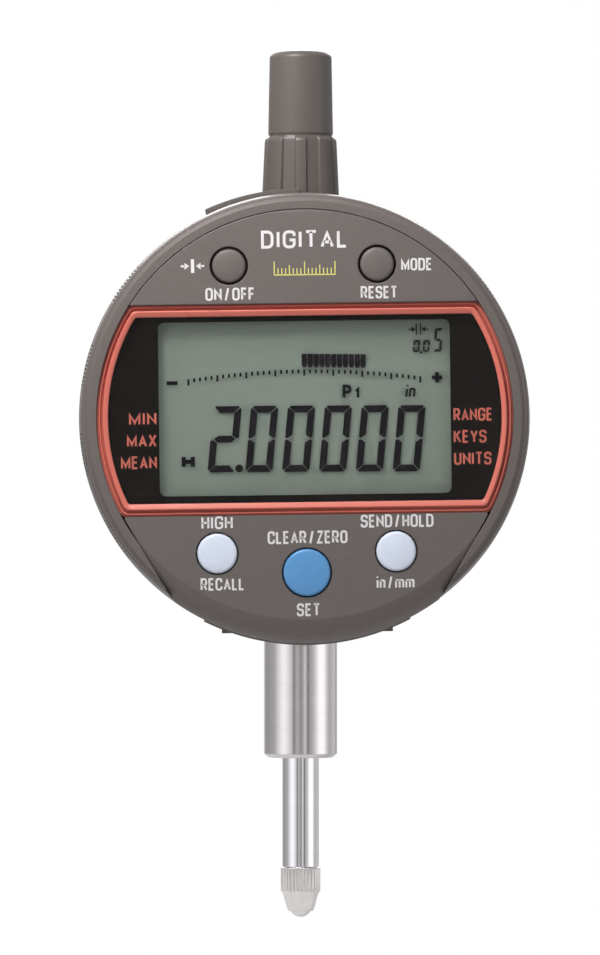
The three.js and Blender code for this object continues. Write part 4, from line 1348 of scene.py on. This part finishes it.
def camera():
    data = bpy.data.cameras.new("camera")
    data.sensor_fit = "VERTICAL"
    data.sensor_height = SENSOR
    data.lens = SENSOR * CAMERA_DISTANCE / FIELD_HEIGHT
    data.clip_start = 0.01
    data.clip_end = 100.0
    made = linked("camera", data)
    made.location = Vector((CAMERA_SIDE, -CAMERA_DISTANCE, HEAD_Z - CAMERA_DROP)) * MM
    made.rotation_euler = (math.pi / 2, 0, math.atan2(CAMERA_SIDE - CAMERA_AIM, CAMERA_DISTANCE))
    bpy.context.scene.camera = made


FLOOR_R = 320.0
FLOOR_DROP = 30.0               # how far the floor lies under the contact
FADE = (0.35, 0.97)             # where it starts and ends turning white, as a share of its radius


def floor():
    """A pale round floor that turns into the white of the background towards its edge."""
    finish = Finish("studio_floor", (0.62, 0.62, 0.62), 0.85, specular=0.1)
    finish.mottle(finish.noise(60.0, 2.0), 0.01)
    length = finish.nodes.new("ShaderNodeVectorMath")
    length.operation = "LENGTH"
    finish.links.new(finish.place, length.inputs[0])
    start, end = FADE
    fade = finish.add("MapRange", {"From Min": FLOOR_R * MM * start, "From Max": FLOOR_R * MM * end})
    fade.interpolation_type = "SMOOTHSTEP"
    finish.links.new(length.outputs["Value"], fade.inputs["Value"])
    seen = finish.nodes.new("ShaderNodeLightPath").outputs["Is Camera Ray"]
    glow = finish.nodes.new("ShaderNodeMath")
    glow.operation = "MULTIPLY"
    finish.links.new(fade.outputs["Result"], glow.inputs[0])
    finish.links.new(seen, glow.inputs[1])
    finish.links.new(glow.outputs[0], finish.shader.inputs["Emission Color"])
    finish.shader.inputs["Emission Strength"].default_value = 1.0
    bm = bmesh.new()
    bmesh.ops.create_circle(bm, cap_ends=True, segments=128, radius=FLOOR_R * MM)
    mesh = mesh_of(bm, "studio_floor")
    mesh.materials.append(finish.material)
    made = linked("studio_floor", mesh)
    made.location.z = CAD_BOX[0].z - FLOOR_DROP * MM


def studio():
    bpy.context.scene.view_settings.view_transform = "Standard"
    world()
    floor()
    camera()
    head = (0, 0, HEAD_Z)
    area_light("key", (-52, -98, HEAD_Z + 130), (0, 0, HEAD_Z + 18), (80, 70), 0.345)
    area_light("fill", (300, -560, HEAD_Z + 260), head, (260, 320), 0.1)
    area_light("back", (0, 560, HEAD_Z + 330), head, (420, 300), 3.2)


# ---------------------------------------------------------------- assembly

dress_frame_nodes()
bezel_ring()
upper_panel()
lower_panel()
window_frame()
window_lens()
display_reflector()
display_crystal()
legends()
for key in ("button_power", "button_menu", "button_peak", "button_hold", "button_zero"):
    button(key)
battery_tray()
spindle_cap()
port_cover()
stem()
spindle()
contact_point()
contact_ball()
rear_housing()
back_cover()
for index in range(1, 5):
    screw(f"cover_screw_{index}")
studio()
